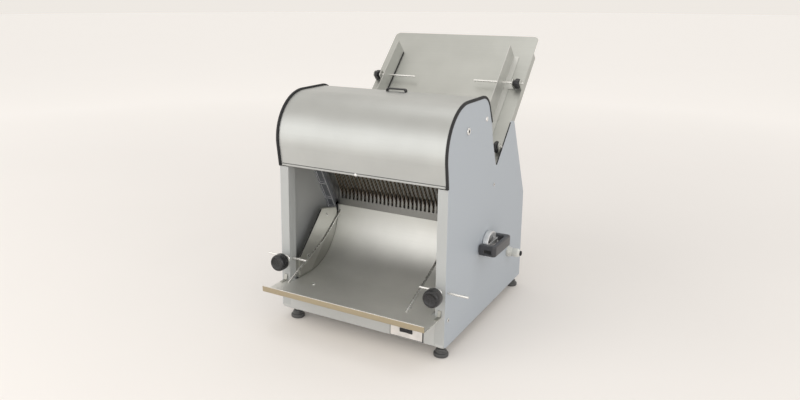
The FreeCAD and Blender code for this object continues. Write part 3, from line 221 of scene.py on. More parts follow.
def textured_paint(name, colour, grain_scale=900.0, roughness=(0.42, 0.55), outside=None):
    """Powder coat with an orange-peel grain; outside is another colour beyond some |x|."""
    material, tree, shader = new_material(name)
    grain = object_noise(tree, EVEN, grain_scale, detail=2.0, roughness=0.5)
    clouds = object_noise(tree, EVEN, scale=5.0, detail=3.0)
    shade = varied(tree, clouds, colour, darkest=0.97, lightest=1.02)
    if outside:
        face_x, tint = outside
        beyond = along_axis(tree, "X", face_x - COAT_START, face_x - COAT_FULL)
        shade = blended(tree, beyond, shade, tint)
    tree.links.new(shade, shader.inputs["Base Color"])
    tree.links.new(ranged(tree, grain, *roughness), shader.inputs["Roughness"])
    shader.inputs["Specular IOR Level"].default_value = 0.45
    bumped(tree, shader, grain, strength=0.25, distance=GRAIN_DEPTH)
    return material


def moulded(name, colour, roughness, grain_scale=500.0, strength=0.10):
    """Moulded plastic or rubber with a spark-eroded grain and slight unevenness."""
    material, tree, shader = new_material(name)
    grain = object_noise(tree, EVEN, grain_scale, detail=2.0, roughness=0.6)
    clouds = object_noise(tree, EVEN, scale=25.0, detail=4.0)
    tree.links.new(varied(tree, clouds, colour, darkest=0.85, lightest=1.15),
                   shader.inputs["Base Color"])
    tree.links.new(ranged(tree, clouds, *roughness), shader.inputs["Roughness"])
    bumped(tree, shader, grain, strength, GRAIN_DEPTH)
    return material


def rubber(name, colour, roughness):
    """Moulded rubber: a coarser and deeper grain than plastic."""
    return moulded(name, colour, roughness, grain_scale=350.0, strength=0.2)


def scalloped_steel(name, dark, light, roughness, pitch, lean):
    """Ground serrated blades: dull and bright patches repeat along them at the tooth pitch, as
    painted shade and painted sheen on the scallops; the same waves give the real relief.
    """
    material, tree, shader = new_material(name)
    coords = tree.nodes.new("ShaderNodeTexCoord")
    turn = tree.nodes.new("ShaderNodeMapping")
    turn.inputs["Rotation"].default_value = (lean, 0.0, 0.0)
    waves = tree.nodes.new("ShaderNodeTexWave")
    waves.bands_direction = "Z"
    waves.inputs["Scale"].default_value = WAVE_PERIOD / pitch
    waves.inputs["Distortion"].default_value = 3.0
    waves.inputs["Detail"].default_value = 2.0
    waves.inputs["Detail Scale"].default_value = 1.5
    tree.links.new(coords.outputs["Object"], turn.inputs["Vector"])
    tree.links.new(turn.outputs["Vector"], waves.inputs["Vector"])
    marks = object_noise(tree, EVEN, scale=260.0, detail=3.0)
    shader.inputs["Metallic"].default_value = 1.0
    tree.links.new(tinted(tree, waves.outputs["Fac"], dark, light), shader.inputs["Base Color"])
    tree.links.new(ranged(tree, marks, *roughness), shader.inputs["Roughness"])
    bumped(tree, shader, waves.outputs["Fac"], strength=0.3, distance=TOOTH_DEPTH)
    return material


# ---- materials: the finishes --------------------------------------------------------------------

ALONG_X = (4.0, 900.0, 900.0)       # stretch of the brushed lines
ALONG_Y = (900.0, 4.0, 900.0)
DRAWN = (900.0, 8.0, 900.0)
BLASTED = (300.0, 300.0, 300.0)
PLATED = (200.0, 200.0, 200.0)
TRAY_FRONT = CAD_BOX[0][1]
# Warm colour on the tray lip's front face: a painted reflection of the warm floor.
LIP_PAINTED_REFLECTION = ("Y", TRAY_FRONT + 1.6 * MM, TRAY_FRONT + 2.4 * MM, (0.47, 0.405, 0.29))
PANEL_FACE = 230.0 * MM
PANEL_TINT = (PANEL_FACE, (0.45, 0.48, 0.51))
TOOTH_PITCH = 10.0 * MM
BLADE_LEAN = math.radians(-30)

# Colour first, then the stretch of the lines where there is one, then the span of the roughness.
hood_steel = brushed_metal("brushed_steel_hood", (0.53, 0.545, 0.535), ALONG_X, (0.34, 0.50))
tray_steel = brushed_metal("brushed_steel_tray", (0.74, 0.745, 0.72), ALONG_X, (0.42, 0.58),
                           LIP_PAINTED_REFLECTION)
chute_steel = brushed_metal("brushed_steel_chute", (0.505, 0.515, 0.49), ALONG_X, (0.42, 0.58))
# The comb's steel is kept far darker than the tray's: painted shade under the hood.
comb_steel_painted_shade = brushed_metal("comb_steel_painted_shade", (0.27, 0.27, 0.26), ALONG_X, (0.34, 0.50))
cheek_steel = brushed_metal("brushed_steel_cheeks", (0.42, 0.42, 0.39), ALONG_Y, (0.34, 0.50))
strip_steel = brushed_metal("brushed_steel_strips", (0.54, 0.54, 0.51), ALONG_Y, (0.30, 0.45))
guide_steel = brushed_metal("loaf_guide_steel", (0.60, 0.605, 0.585), ALONG_X, (0.42, 0.54))
frame_alloy = brushed_metal("frame_alloy", (0.46, 0.46, 0.46), DRAWN, (0.34, 0.48))
satin_alloy = brushed_metal("satin_alloy", (0.62, 0.63, 0.64), BLASTED, (0.42, 0.52))
hub_alloy = brushed_metal("turned_hub_alloy", (0.84, 0.85, 0.86), BLASTED, (0.38, 0.48))
wire_steel = brushed_metal("wire_steel", (0.80, 0.80, 0.78), PLATED, (0.22, 0.32))
bright_steel = polished_metal("bright_steel", (0.80, 0.80, 0.79), (0.20, 0.30))
plain_steel = polished_metal("plain_steel", (0.42, 0.42, 0.43), (0.30, 0.42))
# Blades kept dark brown as painted shade under the hood; their patches are painted shade and
# sheen.
blade_steel = scalloped_steel("ground_blade_steel_painted_shade_and_sheen", (0.16, 0.13, 0.10), (0.44, 0.37, 0.30),
                              (0.45, 0.65), TOOTH_PITCH, BLADE_LEAN)
panel_paint = textured_paint("panel_powder_coat", (0.46, 0.465, 0.45), outside=PANEL_TINT)
front_paint = textured_paint("front_powder_coat", (0.52, 0.52, 0.50))
motor_paint = textured_paint("motor_enamel", (0.10, 0.12, 0.15), 300.0, (0.30, 0.40))
black_plastic = moulded("black_plastic", (0.016, 0.016, 0.018), (0.34, 0.48))
knob_plastic = moulded("knob_plastic", (0.020, 0.020, 0.021), (0.22, 0.32))
grip_plastic = moulded("grip_plastic", (0.050, 0.050, 0.054), (0.28, 0.38))
# Near-black for the grip's end pockets: painted shade in the recesses.
painted_pocket_shade = moulded("grip_pocket_painted_shade", (0.004, 0.004, 0.004), (0.50, 0.60))
guide_plastic = moulded("guide_plastic", (0.15, 0.155, 0.165), (0.35, 0.50))
# Lighter plastic for the frame guides' rounded rims: a painted highlight where the rims catch
# light.
painted_rim_highlight = moulded("guide_plastic_painted_rim_highlight", (0.50, 0.50, 0.51), (0.35, 0.50))
cream_plastic = moulded("cream_plastic", (0.66, 0.65, 0.60), (0.36, 0.46))
plate_plastic = moulded("switch_plate_plastic", (0.74, 0.70, 0.66), (0.36, 0.46))
# Dark colour for the bar over the hood's hem: a painted shadow line.
painted_hem_shadow = moulded("hem_painted_shadow_line", (0.10, 0.10, 0.095), (0.60, 0.70))
# Near-black for the screw sockets: painted shade in the recesses.
painted_socket_shade = moulded("screw_socket_painted_shade", (0.02, 0.02, 0.02), (0.50, 0.60))
black_rubber = rubber("black_rubber", (0.014, 0.014, 0.015), (0.62, 0.78))
foot_rubber = rubber("foot_rubber", (0.075, 0.075, 0.073), (0.30, 0.42))

FINISHES = {
    "brushed_stainless": tray_steel, "bright_steel": bright_steel, "blade_steel": blade_steel,
    "frame_metal": frame_alloy, "guide_plastic": guide_plastic, "black_plastic": black_plastic,
    "black_rubber": black_rubber, "cream_plastic": cream_plastic, "motor_paint": motor_paint,
    "steel_parts": plain_steel, "panel_paint": panel_paint,
}
OWN_FINISH = {
    "hood_cover": hood_steel, "infeed_chute": chute_steel, "comb_plate": comb_steel_painted_shade,
    "left_loaf_guide": guide_steel, "right_loaf_guide": guide_steel, "rod_lugs": chute_steel,
    "lower_front_panel": front_paint, "cheek_strips": strip_steel, "tray_hooks": cheek_steel,
    "left_cheek_plate": cheek_steel, "right_cheek_plate": cheek_steel, "crank_bar": satin_alloy,
    "crank_screws": satin_alloy, "loaf_guide_rods": wire_steel, "left_wire_guide": wire_steel,
    "right_wire_guide": wire_steel,
}
for node_name, slot_name in SLOTS.items():
    materials = NODES[node_name].data.materials
    materials.clear()
    materials.append(OWN_FINISH.get(node_name, FINISHES[slot_name]))


# ---- pieces: small helpers ----------------------------------------------------------------------

CREASE = math.radians(35)           # flatter edges are shaded smooth
SEAM_WELD = 0.02 * MM               # joins the split vertices of a CAD mesh
AXIS_WELD = 0.01 * MM               # joins a spun profile's ends on its axis
FLAT_ANGLE = math.radians(1)        # flatter edges of a CAD mesh dissolve
BAR_SEGMENTS = 3


def piece(name, mesh, materials, body, node, stands_for=True):
    """A finished object that rides on body and stands for, or only belongs to, node."""
    bmesh.ops.recalc_face_normals(mesh, faces=list(mesh.faces))
    data = bpy.data.meshes.new(name)
    mesh.to_mesh(data)
    mesh.free()
    for face in data.polygons:
        face.use_smooth = True
    data.set_sharp_from_angle(angle=CREASE)
    for material in materials:
        data.materials.append(material)
    made = bpy.data.objects.new(name, data)
    bpy.context.scene.collection.objects.link(made)
    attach(made, body)
    if stands_for:
        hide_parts(node)


def cad_copy(node):
    """The node's own mesh as a bmesh with its seams joined."""
    mesh = bmesh.new()
    mesh.from_mesh(NODES[node].data)
    bmesh.ops.remove_doubles(mesh, verts=list(mesh.verts), dist=SEAM_WELD)
    return mesh


def islands(node):
    """Lowest and highest corner of each separate solid of a CAD node."""
    mesh = cad_copy(node)
    waiting = dict.fromkeys(mesh.verts)
    boxes = []
    while waiting:
        front = [next(iter(waiting))]
        del waiting[front[0]]
        found = list(front)
        while front:
            for edge in front.pop().link_edges:
                for vertex in edge.verts:
                    if vertex in waiting:
                        del waiting[vertex]
                        front.append(vertex)
                        found.append(vertex)
        boxes.append([Vector([pick(v.co[i] for v in found) for i in range(3)])
                      for pick in (min, max)])
    mesh.free()
    return boxes


def each_once(elements):
    """Elements of a mesh without repeats, in the order in which they come."""
    return list(dict.fromkeys(elements))


def rounded_edges(mesh, edges, radius, segments):
    """Rounds those edges and returns the faces that the rounding adds."""
    return bmesh.ops.bevel(mesh, geom=edges, offset=radius, offset_type="OFFSET",
                           segments=segments, profile=0.5, affect="EDGES", clamp_overlap=True,
                           material=-1)["faces"]


def softened(node, radius, segments=3, limit=30.0, shaped=None, edge_slot=0):
    """Copy of a CAD node's mesh with its sharp edges rounded, after shaped has worked on it."""
    mesh = cad_copy(node)
    bmesh.ops.dissolve_limit(mesh, angle_limit=FLAT_ANGLE, verts=list(mesh.verts),
                             edges=list(mesh.edges))
    if shaped:
        mesh.normal_update()
        shaped(mesh)
        mesh.normal_update()
    sharp = [e for e in mesh.edges
             if len(e.link_faces) == 2 and e.calc_face_angle() > math.radians(limit)]
    for face in rounded_edges(mesh, sharp, radius, segments):
        if edge_slot:
            face.material_index = edge_slot
    return mesh


def rounded_bar(name, size, centre, turn, radius, material, body, node):
    """Bar with rounded edges, turned about x and set at centre, as a piece beside the CAD node."""
    mesh = bmesh.new()
    made = bmesh.ops.create_cube(mesh, size=1.0, matrix=Matrix.Diagonal((*size, 1.0)))["verts"]
    place = Matrix.Translation(centre) @ Matrix.Rotation(turn, 4, "X")
    bmesh.ops.transform(mesh, matrix=place, verts=made)
    rounded_edges(mesh, each_once(e for v in made for e in v.link_edges), radius, BAR_SEGMENTS)
    piece(name, mesh, [material], body, node, stands_for=False)


def rounded(points, steps=4, share=0.35):
    """Profile with each inner corner turned into a short curve."""
    result = [Vector(points[0])]
    for before, corner, after in zip(points, points[1:], points[2:]):
        before, corner, after = Vector(before), Vector(corner), Vector(after)
        start = corner.lerp(before, share)
        end = corner.lerp(after, share)
        for i in range(steps + 1):
            t = i / steps
            result.append(start.lerp(corner, t).lerp(corner.lerp(end, t), t))
    result.append(Vector(points[-1]))
    return result


def crisp(points):
    """Profile with tighter corners, for small turned pieces."""
    return rounded(points, steps=3, share=0.3)


def spun(mesh, profile, base, outward, steps, slot=0):
    """Full turn of a (radius, height) profile in millimetres about outward, from base."""
    outward = Vector(outward).normalized()
    side = outward.orthogonal().normalized()
    start = [mesh.verts.new(base + (side * radius + outward * height) * MM)
             for radius, height in profile]
    edges = [mesh.edges.new(pair) for pair in zip(start, start[1:])]
    known = set(mesh.faces)
    bmesh.ops.spin(mesh, geom=start + edges, cent=base, axis=outward, angle=2 * math.pi,
                   steps=steps, use_merge=True, use_duplicate=False)
    made = [f for f in mesh.faces if f not in known]
    bmesh.ops.remove_doubles(mesh, verts=each_once(v for f in made for v in f.verts),
                             dist=AXIS_WELD)
    for face in mesh.faces:
        if face not in known:
            face.material_index = slot
    return mesh


def middle(low, high):
    """Centre of the box between two corners."""
    return (Vector(low) + Vector(high)) / 2


# ---- clamp knobs on the front posts -------------------------------------------------------------

KNOB_LENGTH = 47.0 * MM             # from the knob's face back to its profile's base
KNOB_PROFILE = [(8.6, 17.0), (12.0, 18.2), (18.0, 19.6), (21.2, 23.0), (21.4, 29.0), (21.4, 38.5),
                (20.0, 44.2), (17.4, 46.8), (15.4, 46.8), (14.2, 45.0), (8.0, 43.6), (0.0, 43.4)]
STUD_PROFILE = [(0.0, -6.0), (3.9, -6.0), (3.9, 1.2), (10.6, 1.2), (10.6, 4.0), (9.0, 5.4),
                (8.6, 17.4)]


def clamp_knob(side):
    """Dished round knob and the bright stud that it sits on."""
    node = side + "_clamp_knob"
    low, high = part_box(node)
    centre = middle(low, high)
    base = Vector((centre.x, low[1] + KNOB_LENGTH, centre.z))
    body = side + "_clamp"
    knob = spun(bmesh.new(), rounded(KNOB_PROFILE), base, FORWARD, steps=64)
    piece(side + "_dished_clamp_knob", knob, [knob_plastic], body, node)
    stud = spun(bmesh.new(), rounded(STUD_PROFILE, steps=3, share=0.2), base, FORWARD, steps=40)
    piece(side + "_clamp_stud", stud, [bright_steel], body, node, stands_for=False)


for side_name, _ in SIDES:
    clamp_knob(side_name)


# ---- star knobs on the chute's rods -------------------------------------------------------------

STAR_LOBES = 3
STAR_ANGLE = math.radians(45)
STAR_STRETCH = 1.03                 # of the height of the CAD knob
STAR_REACH = 1.1                    # of half its width
STAR_BORE = 3.1
STAR_DISH = 0.9                     # depth of the outer face's middle
LOBE_START = 0.5                    # of the reach
LOBE_SWELL = 1.08
LOBE_DEPTH = 0.34
LOBE_POWER = 1.4
# radius as a share of the reach, height as a share of the knob's, and millimetres added to that
STAR_PROFILE = [(0.46, 0.0, 0.0), (0.46, 0.22, 0.0), (0.86, 0.22, 0.6), (0.94, 0.22, 2.4),
                (0.94, 0.72, 0.0), (0.80, 0.93, 0.0), (0.42, 1.0, 0.0), (0.36, 1.0, -STAR_DISH)]


def star_knob(node, body, outward):
    """Soft lobes round a bored middle; the mesh is turned, then its radius follows the lobes."""
    low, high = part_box(node)
    centre = middle(low, high)
    height = (high[0] - low[0]) / MM * STAR_STRETCH
    reach = STAR_REACH * max(high[1] - low[1], high[2] - low[2]) / 2 / MM
    outward = Vector(outward)
    base = Vector((low[0] if outward.x > 0 else high[0], centre.y, centre.z))
    profile = [(reach * radius, height * share + extra) for radius, share, extra in STAR_PROFILE]
    profile = [(STAR_BORE, 0.0)] + profile + [(STAR_BORE, height - STAR_DISH)]
    mesh = spun(bmesh.new(), rounded(profile), base, outward, steps=72)
    lobe_start = reach * LOBE_START
    for vertex in mesh.verts:
        offset = vertex.co - base
        along = outward * offset.dot(outward)
        radial = offset - along
        radius = radial.length / MM
        if radius < lobe_start:
            continue
        angle = math.atan2(radial.y, radial.z)
        share = (radius - lobe_start) / (reach - lobe_start)
        lobed = 0.5 + 0.5 * math.cos(STAR_LOBES * (angle - STAR_ANGLE))
        swell = LOBE_SWELL - LOBE_DEPTH * share * (1.0 - lobed) ** LOBE_POWER
        vertex.co = base + along + radial * swell
    piece(node.replace("_knob", "_lobed_knob"), mesh, [black_plastic], body, node)


for side_name, sign in SIDES:
    for level, outward_x in (("upper_", sign), ("lower_", -sign)):
        star = level + side_name + "_star"
        star_knob(star + "_knob", star, (outward_x, 0.0, 0.0))


# ---- crank: bow grip and hub --------------------------------------------------------------------

GRIP_RADIUS = 1.1 * MM
HUB_RADIUS = 0.8 * MM
POCKET_START = 0.26                 # of the grip's depth from the panel outwards
POCKET_TOP = 0.68                   # of its height
POCKET_WALL = 2.4 * MM
POCKET_DEPTH = 3.4 * MM
POCKET_TAPER = 0.8 * MM
POCKET_CUT = 0.01 * MM
END_FACING = 0.9                    # least |y| of an end face's normal
END_REACH = 0.2 * MM                # such a face lies this close to the grip's end
# Pocket faces that look up keep the grip's finish as the lit edge; the rest take the painted
# shade.
LIT_FACING = 0.7                    # least z of the pocket faces that keep the grip's finish


def end_faces(mesh, y):
    """Faces at that end of the grip that look along y."""
    return [f for f in mesh.faces if abs(f.normal.y) > END_FACING
            and abs(f.calc_center_median().y - y) < END_REACH]


def end_pockets(mesh, low, high):
    """A pocket sunk into the outer part of each end face of the bow, its walls and floor painted
    near-black as shade except where they look up.
    """
    split = Vector((low.x + (high.x - low.x) * POCKET_START, 0.0,
                    low.z + (high.z - low.z) * POCKET_TOP))
    for y in (low.y, high.y):
        end = max(end_faces(mesh, y), key=lambda f: f.calc_area())
        for axis in (0, 2):
            normal = [0.0, 0.0, 0.0]
            normal[axis] = 1.0
            bmesh.ops.bisect_plane(mesh, geom=[end] + list(end.edges) + list(end.verts),
                                   dist=POCKET_CUT, plane_co=split, plane_no=normal)
            parts = [f for f in end_faces(mesh, y) if f.calc_center_median().x > split.x
                     and (axis == 0 or f.calc_center_median().z < split.z)]
            end = max(parts, key=lambda f: f.calc_area())
        bmesh.ops.inset_region(mesh, faces=[end], thickness=POCKET_WALL, depth=0.0,
                               use_even_offset=True)
        sides = bmesh.ops.inset_region(mesh, faces=[end], thickness=POCKET_TAPER,
                                       depth=-POCKET_DEPTH, use_even_offset=True)["faces"]
        mesh.normal_update()
        # Painted shade: pocket faces that don't look up take the near-black second material.
        for face in sides + [end]:
            face.material_index = 0 if face.normal.z > LIT_FACING else 1


def crank_grip():
    """The bow with its soft edges and end pockets."""
    low, high = (Vector(corner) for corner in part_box("crank_grip"))
    mesh = softened("crank_grip", GRIP_RADIUS, shaped=lambda bow: end_pockets(bow, low, high))
    piece("recessed_crank_grip", mesh, [grip_plastic, painted_pocket_shade], "crank", "crank_grip")


crank_grip()
piece("soft_edged_hub", softened("crank_hub", HUB_RADIUS), [hub_alloy], "crank", "crank_hub")


# ---- hood: handle, rivet and hem ----------------------------------------------------------------

HANDLE_RADIUS = 1.2 * MM
LIP_Y = -268.0 * MM                 # face of the hood's lower edge and of the front panel
RIVET_X = -8.0 * MM
RIVET_RISE = 3.0 * MM
RIVET_PROFILE = [(0.0, -1.0), (4.6, -1.0), (4.6, 1.2), (2.8, 2.6), (0.0, 3.0)]
HEM_LEAN = math.radians(9)
HEM_SHORT = 3.0 * MM                # shorter than the hood by this much
# name, thickness, height, rise along the hem, stand-off, edge radius and material
HEM_BARS = [("hood_hem_fold", 1.6 * MM, 5.0 * MM, 3.2 * MM, 0.7 * MM, 0.6 * MM, hood_steel),
            ("hood_hem_painted_shadow_bar", 0.8 * MM, 1.6 * MM, 6.4 * MM, 0.1 * MM, 0.3 * MM, painted_hem_shadow)]

piece("soft_hood_handle", softened("hood_handle", HANDLE_RADIUS, segments=4), [black_plastic],
      "hood", "hood_handle")


def lip_rivet():
    """Bright stop rivet under the middle of the hood's front edge."""
    low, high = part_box("hood_cover")
    base = Vector((RIVET_X, LIP_Y, low[2] + RIVET_RISE))
    mesh = spun(bmesh.new(), rounded(RIVET_PROFILE), base, FORWARD, steps=32)
    piece("hood_lip_rivet", mesh, [bright_steel], "hood", "hood_cover", stands_for=False)


def hood_hem():
    """Folded hem along the hood's lower front edge, with a dark bar over it as its painted shadow
    line.
    """
    low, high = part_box("hood_cover")
    length = high[0] - low[0] - HEM_SHORT
    foot = Vector((0.0, LIP_Y, low[2]))
    up = Vector((0.0, -math.sin(HEM_LEAN), math.cos(HEM_LEAN)))
    out = Vector((0.0, -math.cos(HEM_LEAN), -math.sin(HEM_LEAN)))
    for name, thickness, height, rise, proud, radius, material in HEM_BARS:
        rounded_bar(name, (length, thickness, height), foot + up * rise + out * proud, HEM_LEAN,
                    radius, material, "hood", "hood_cover")


lip_rivet()
hood_hem()


# ---- tray lip, edgings, painted shadow lines and post toes --------------------------------------

BEAD_SIZE = (444.0 * MM, 2.0 * MM, 2.0 * MM)
BEAD_PLACE = Vector((0.0, TRAY_FRONT + 1.0 * MM, 121.4 * MM))
BEAD_RADIUS = 0.7 * MM
TRIM_RADIUS = 0.35 * MM
TRIM_LIMIT = 50.0                   # degrees; the trim's softer bends stay as they are
NOTCH_X = 229.2 * MM
NOTCH_RUN = ((36.5 * MM, 405.5 * MM), (131.5 * MM, 500.5 * MM))
NOTCH_SECTION = (3.0 * MM, 1.5 * MM, 0.5 * MM)
STRIP_X = 194.0 * MM
STRIP_RUN = ((-240.2 * MM, 162.4 * MM), (-136.4 * MM, 266.6 * MM))
STRIP_SECTION = (2.8 * MM, 2.4 * MM, 0.6 * MM)
GUIDE_STRIP_SIZE = (1.6 * MM, 425.0 * MM, 3.6 * MM)
GUIDE_STRIP_PLACE = (172.8 * MM, 145.2 * MM, 506.3 * MM)
GUIDE_STRIP_RADIUS = 0.5 * MM
CHUTE_SLOPE = math.radians(45)
TOE_SIZE = (22.6 * MM, 1.5 * MM, 8.2 * MM)
TOE_PLACE = (216.3 * MM, -267.2 * MM, 34.0 * MM)
TOE_RADIUS = 0.6 * MM

rounded_bar("tray_lip_bead", BEAD_SIZE, BEAD_PLACE, 0.0, BEAD_RADIUS, wire_steel, "cabinet",
            "outfeed_tray")
for side_name, _ in SIDES:
    node_name = side_name + "_edge_trim"
    piece(side_name + "_rubber_edging", softened(node_name, TRIM_RADIUS, 2, TRIM_LIMIT),
          [black_rubber], "cabinet", node_name)


def painted_shadow_strip(name, x, run, section, node):
    """Black strip on a sheet's upper edge, from run's first (y, z) point to its second: a painted
    shadow line along a gap.
    """
    foot, peak = (Vector((x, *point)) for point in run)
    line = peak - foot
    width, thickness, radius = section
    rounded_bar(name, (width, line.length, thickness), (foot + peak) / 2,
                math.atan2(line.z, line.y), radius, black_rubber, "cabinet", node)


def mirrored(place, sign):
    """Place on the side that sign names."""
    return Vector((sign * place[0], *place[1:]))


for side_name, sign in SIDES:
    # Painted shadow line: a black strip along the notch's rear edge, where the gap between panel
    # and chute shows dark.
    painted_shadow_strip(side_name + "_notch_painted_shadow_line", sign * NOTCH_X, NOTCH_RUN, NOTCH_SECTION,
           side_name + "_side_panel")
    # Painted shadow: a black strip along the loaf guide's foot, where its contact shadow on the
    # chute falls.
    rounded_bar(side_name + "_loaf_guide_painted_shadow", GUIDE_STRIP_SIZE,
                mirrored(GUIDE_STRIP_PLACE, sign), CHUTE_SLOPE, GUIDE_STRIP_RADIUS, black_rubber,
                side_name + "_loaf", side_name + "_loaf_guide")
    # Painted shadow line: a black strip on the cheek strip's upper edge, where the gap to the side
    # panel shows dark.
    painted_shadow_strip(side_name + "_cheek_painted_shadow_line", sign * STRIP_X, STRIP_RUN, STRIP_SECTION, "cheek_strips")

# Short folds that close the posts' feet beside the lower front panel.
for side_name, sign in SIDES:
    rounded_bar(side_name + "_post_toe", TOE_SIZE, mirrored(TOE_PLACE, sign), 0.0, TOE_RADIUS,
                front_paint, "cabinet", side_name + "_side_panel")


# ---- feet ---------------------------------------------------------------------------------------

FOOT_PROFILE = [(0.0, 0.0), (17.0, 0.0), (18.0, 1.4), (18.0, 6.6), (17.0, 8.6), (13.6, 9.6),
                (12.4, 11.2), (12.2, 12.6), (13.2, 13.4), (13.2, 15.0), (11.6, 16.0),
                (10.6, 18.8), (5.1, 19.0)]


def turned_feet():
    """Stepped rubber feet on the CAD feet's places."""
    mesh = bmesh.new()
    for low, high in islands("feet"):
        centre = middle(low, high)
        base = Vector((centre.x, centre.y, low.z))
        spun(mesh, crisp(FOOT_PROFILE), base, UPWARD, steps=40)
    piece("turned_rubber_feet", mesh, [foot_rubber], "cabinet", "feet")


turned_feet()


# ---- screws -------------------------------------------------------------------------------------

SOCKET_SHARE = 0.42                 # radius of the socket as a share of the head's
SOCKET_FLAT = 0.5                   # ring round the socket's mouth, in millimetres
SOCKET_TAPER = 0.94
CROWN_SHARE = 0.72                  # radius of the flat crown as a share of the head's
RIM_DROP = 0.35                     # depths below the crown as shares of the head's height
MOUTH_DROP = 0.12
SOCKET_DROP = 0.7
TRAY_SCREW_HEIGHT = 2.4
CHEEK_SCREW_HEIGHT = 1.6
PANEL_SCREW_SHARE = 0.4             # height of a side panel's head as a share of its radius
ROUND_WITHIN = 0.4 * MM             # widths of an upright screw's box differ by less
CHEEK_REACH = 4.0 * MM              # screws this close to a cheek hold its strip
REAR_SCREWS = ((-206.0, 46.0), (0.0, 46.0), (206.0, 46.0), (-206.0, 258.0), (206.0, 258.0))
REAR_SCREW_RADIUS = 4.5
REAR_SCREW_HEIGHT = 2.0
REAR_SCREW_SUNK = 0.2


def screw_head(mesh, radius, height, base, outward):
    """One ring-shaped head with its socket painted near-black as shade, whose top is at base."""
    socket = radius * SOCKET_SHARE
    mouth = (socket, -MOUTH_DROP * height)
    ring = [(0.0, -height), (radius, -height), (radius, -RIM_DROP * height),
            (radius * CROWN_SHARE, 0.0), (socket + SOCKET_FLAT, 0.0), mouth]
    hole = [mouth, (socket * SOCKET_TAPER, -SOCKET_DROP * height), (0.0, -SOCKET_DROP * height)]
    spun(mesh, crisp(ring), base, outward, steps=32)
    # The socket takes the second material: painted shade in the recess.
    spun(mesh, hole, base, outward, steps=24, slot=1)


def casing_heads():
    """Heads for the screws of the casing, tray and cheeks, each at its CAD screw's outer end."""
    mesh = bmesh.new()
    cheek = abs(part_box("right_cheek_plate")[0][0])
    for low, high in islands("casing_screws"):
        centre = middle(low, high)
        size = high - low
        if abs(size.x - size.y) < ROUND_WITHIN:
            screw_head(mesh, size.x / 2 / MM, TRAY_SCREW_HEIGHT,
                       Vector((centre.x, centre.y, high.z)), UPWARD)
            continue
        inner, outer = sorted((abs(low.x), abs(high.x)))
        sign = 1.0 if centre.x > 0 else -1.0
        radius = size.y / 2 / MM
        if outer < cheek + CHEEK_REACH:
            face, outward, height = inner, -sign, CHEEK_SCREW_HEIGHT
        else:
            face, outward, height = outer, sign, radius * PANEL_SCREW_SHARE
        screw_head(mesh, radius, height, Vector((sign * face, centre.y, centre.z)),
                   (outward, 0.0, 0.0))
    piece("socket_screws", mesh, [bright_steel, painted_socket_shade], "cabinet", "casing_screws")


def rear_heads():
    """Heads that hold the rear panel along its foot and below its slope."""
    face_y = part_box("rear_panel")[1][1]
    top_y = face_y + (REAR_SCREW_HEIGHT - REAR_SCREW_SUNK) * MM
    mesh = bmesh.new()
    for x, z in REAR_SCREWS:
        screw_head(mesh, REAR_SCREW_RADIUS, REAR_SCREW_HEIGHT, Vector((x * MM, top_y, z * MM)),
                   REARWARD)
    piece("rear_panel_screws", mesh, [bright_steel, painted_socket_shade], "cabinet", "casing_screws",
          stands_for=False)


casing_heads()
rear_heads()


# ---- switch, frame guides and gland -------------------------------------------------------------

SMALL_RADIUS = 0.5 * MM
GUIDE_RADIUS = 1.0 * MM
GASKET_MARGIN = 4.4 * MM            # wider and higher than the switch plate
GASKET_THICKNESS = 1.6 * MM
GASKET_PROUD = 0.6 * MM
GASKET_RADIUS = 0.6 * MM
SEAL_PROFILE = [(0.0, -8.0), (6.8, -8.0), (7.0, 2.2), (5.6, 3.4), (3.2, 3.4), (2.8, 1.0),
                (0.0, 1.0)]


def soft_copy(node, radius, materials, body="cabinet", edge_slot=0):
    """The CAD node itself with softly rounded edges."""
    piece("soft_" + node, softened(node, radius, segments=2, edge_slot=edge_slot), materials,
          body, node)


def switch_gasket():
    """Black gasket behind the switch plate."""
    low, high = (Vector(corner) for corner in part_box("switch_plate"))
    size = high - low
    centre = Vector(((low.x + high.x) / 2, LIP_Y - GASKET_PROUD, (low.z + high.z) / 2))
    rounded_bar("switch_gasket",
                (size.x + GASKET_MARGIN, GASKET_THICKNESS, size.z + GASKET_MARGIN), centre, 0.0,
                GASKET_RADIUS, black_rubber, "cabinet", "switch_plate")


def gland_seal():
    """Black seal that stands out of the gland's cap."""
    low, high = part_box("cable_gland")
    centre = middle(low, high)
    base = Vector((high[0], centre.y, centre.z))
    mesh = spun(bmesh.new(), crisp(SEAL_PROFILE), base, (1.0, 0.0, 0.0), steps=32)
    piece("domed_gland_seal", mesh, [black_rubber], "cabinet", "gland_seal")


soft_copy("switch_plate", SMALL_RADIUS, [plate_plastic])
soft_copy("switch_rocker", SMALL_RADIUS, [black_plastic], "switch")
switch_gasket()
gland_seal()
for side_name, _ in SIDES:
    # The frame guides' rounded rims take the lighter plastic as a painted highlight.
    soft_copy(side_name + "_frame_guide", GUIDE_RADIUS, [guide_plastic, painted_rim_highlight], edge_slot=1)
soft_copy("cable_gland", SMALL_RADIUS, [cream_plastic])


# ---- studio -------------------------------------------------------------------------------------

BACKDROP = (0.86, 0.82, 0.77)
FLOOR_COLOUR = (0.83, 0.775, 0.72)
FLOOR_RADIUS = 30.0
FLOOR_SEGMENTS = 96
GLOW = (0.06, 0.36, 0.8, 4.0)       # strength near and far, and the radii where it starts and ends
AMBIENT = (0.96, 0.98, 1.0)
AMBIENT_STRENGTH = 0.72
HEART = (0.0, 0.0, 0.35)            # what the lamps point at
WHITE = (1.0, 1.0, 1.0)
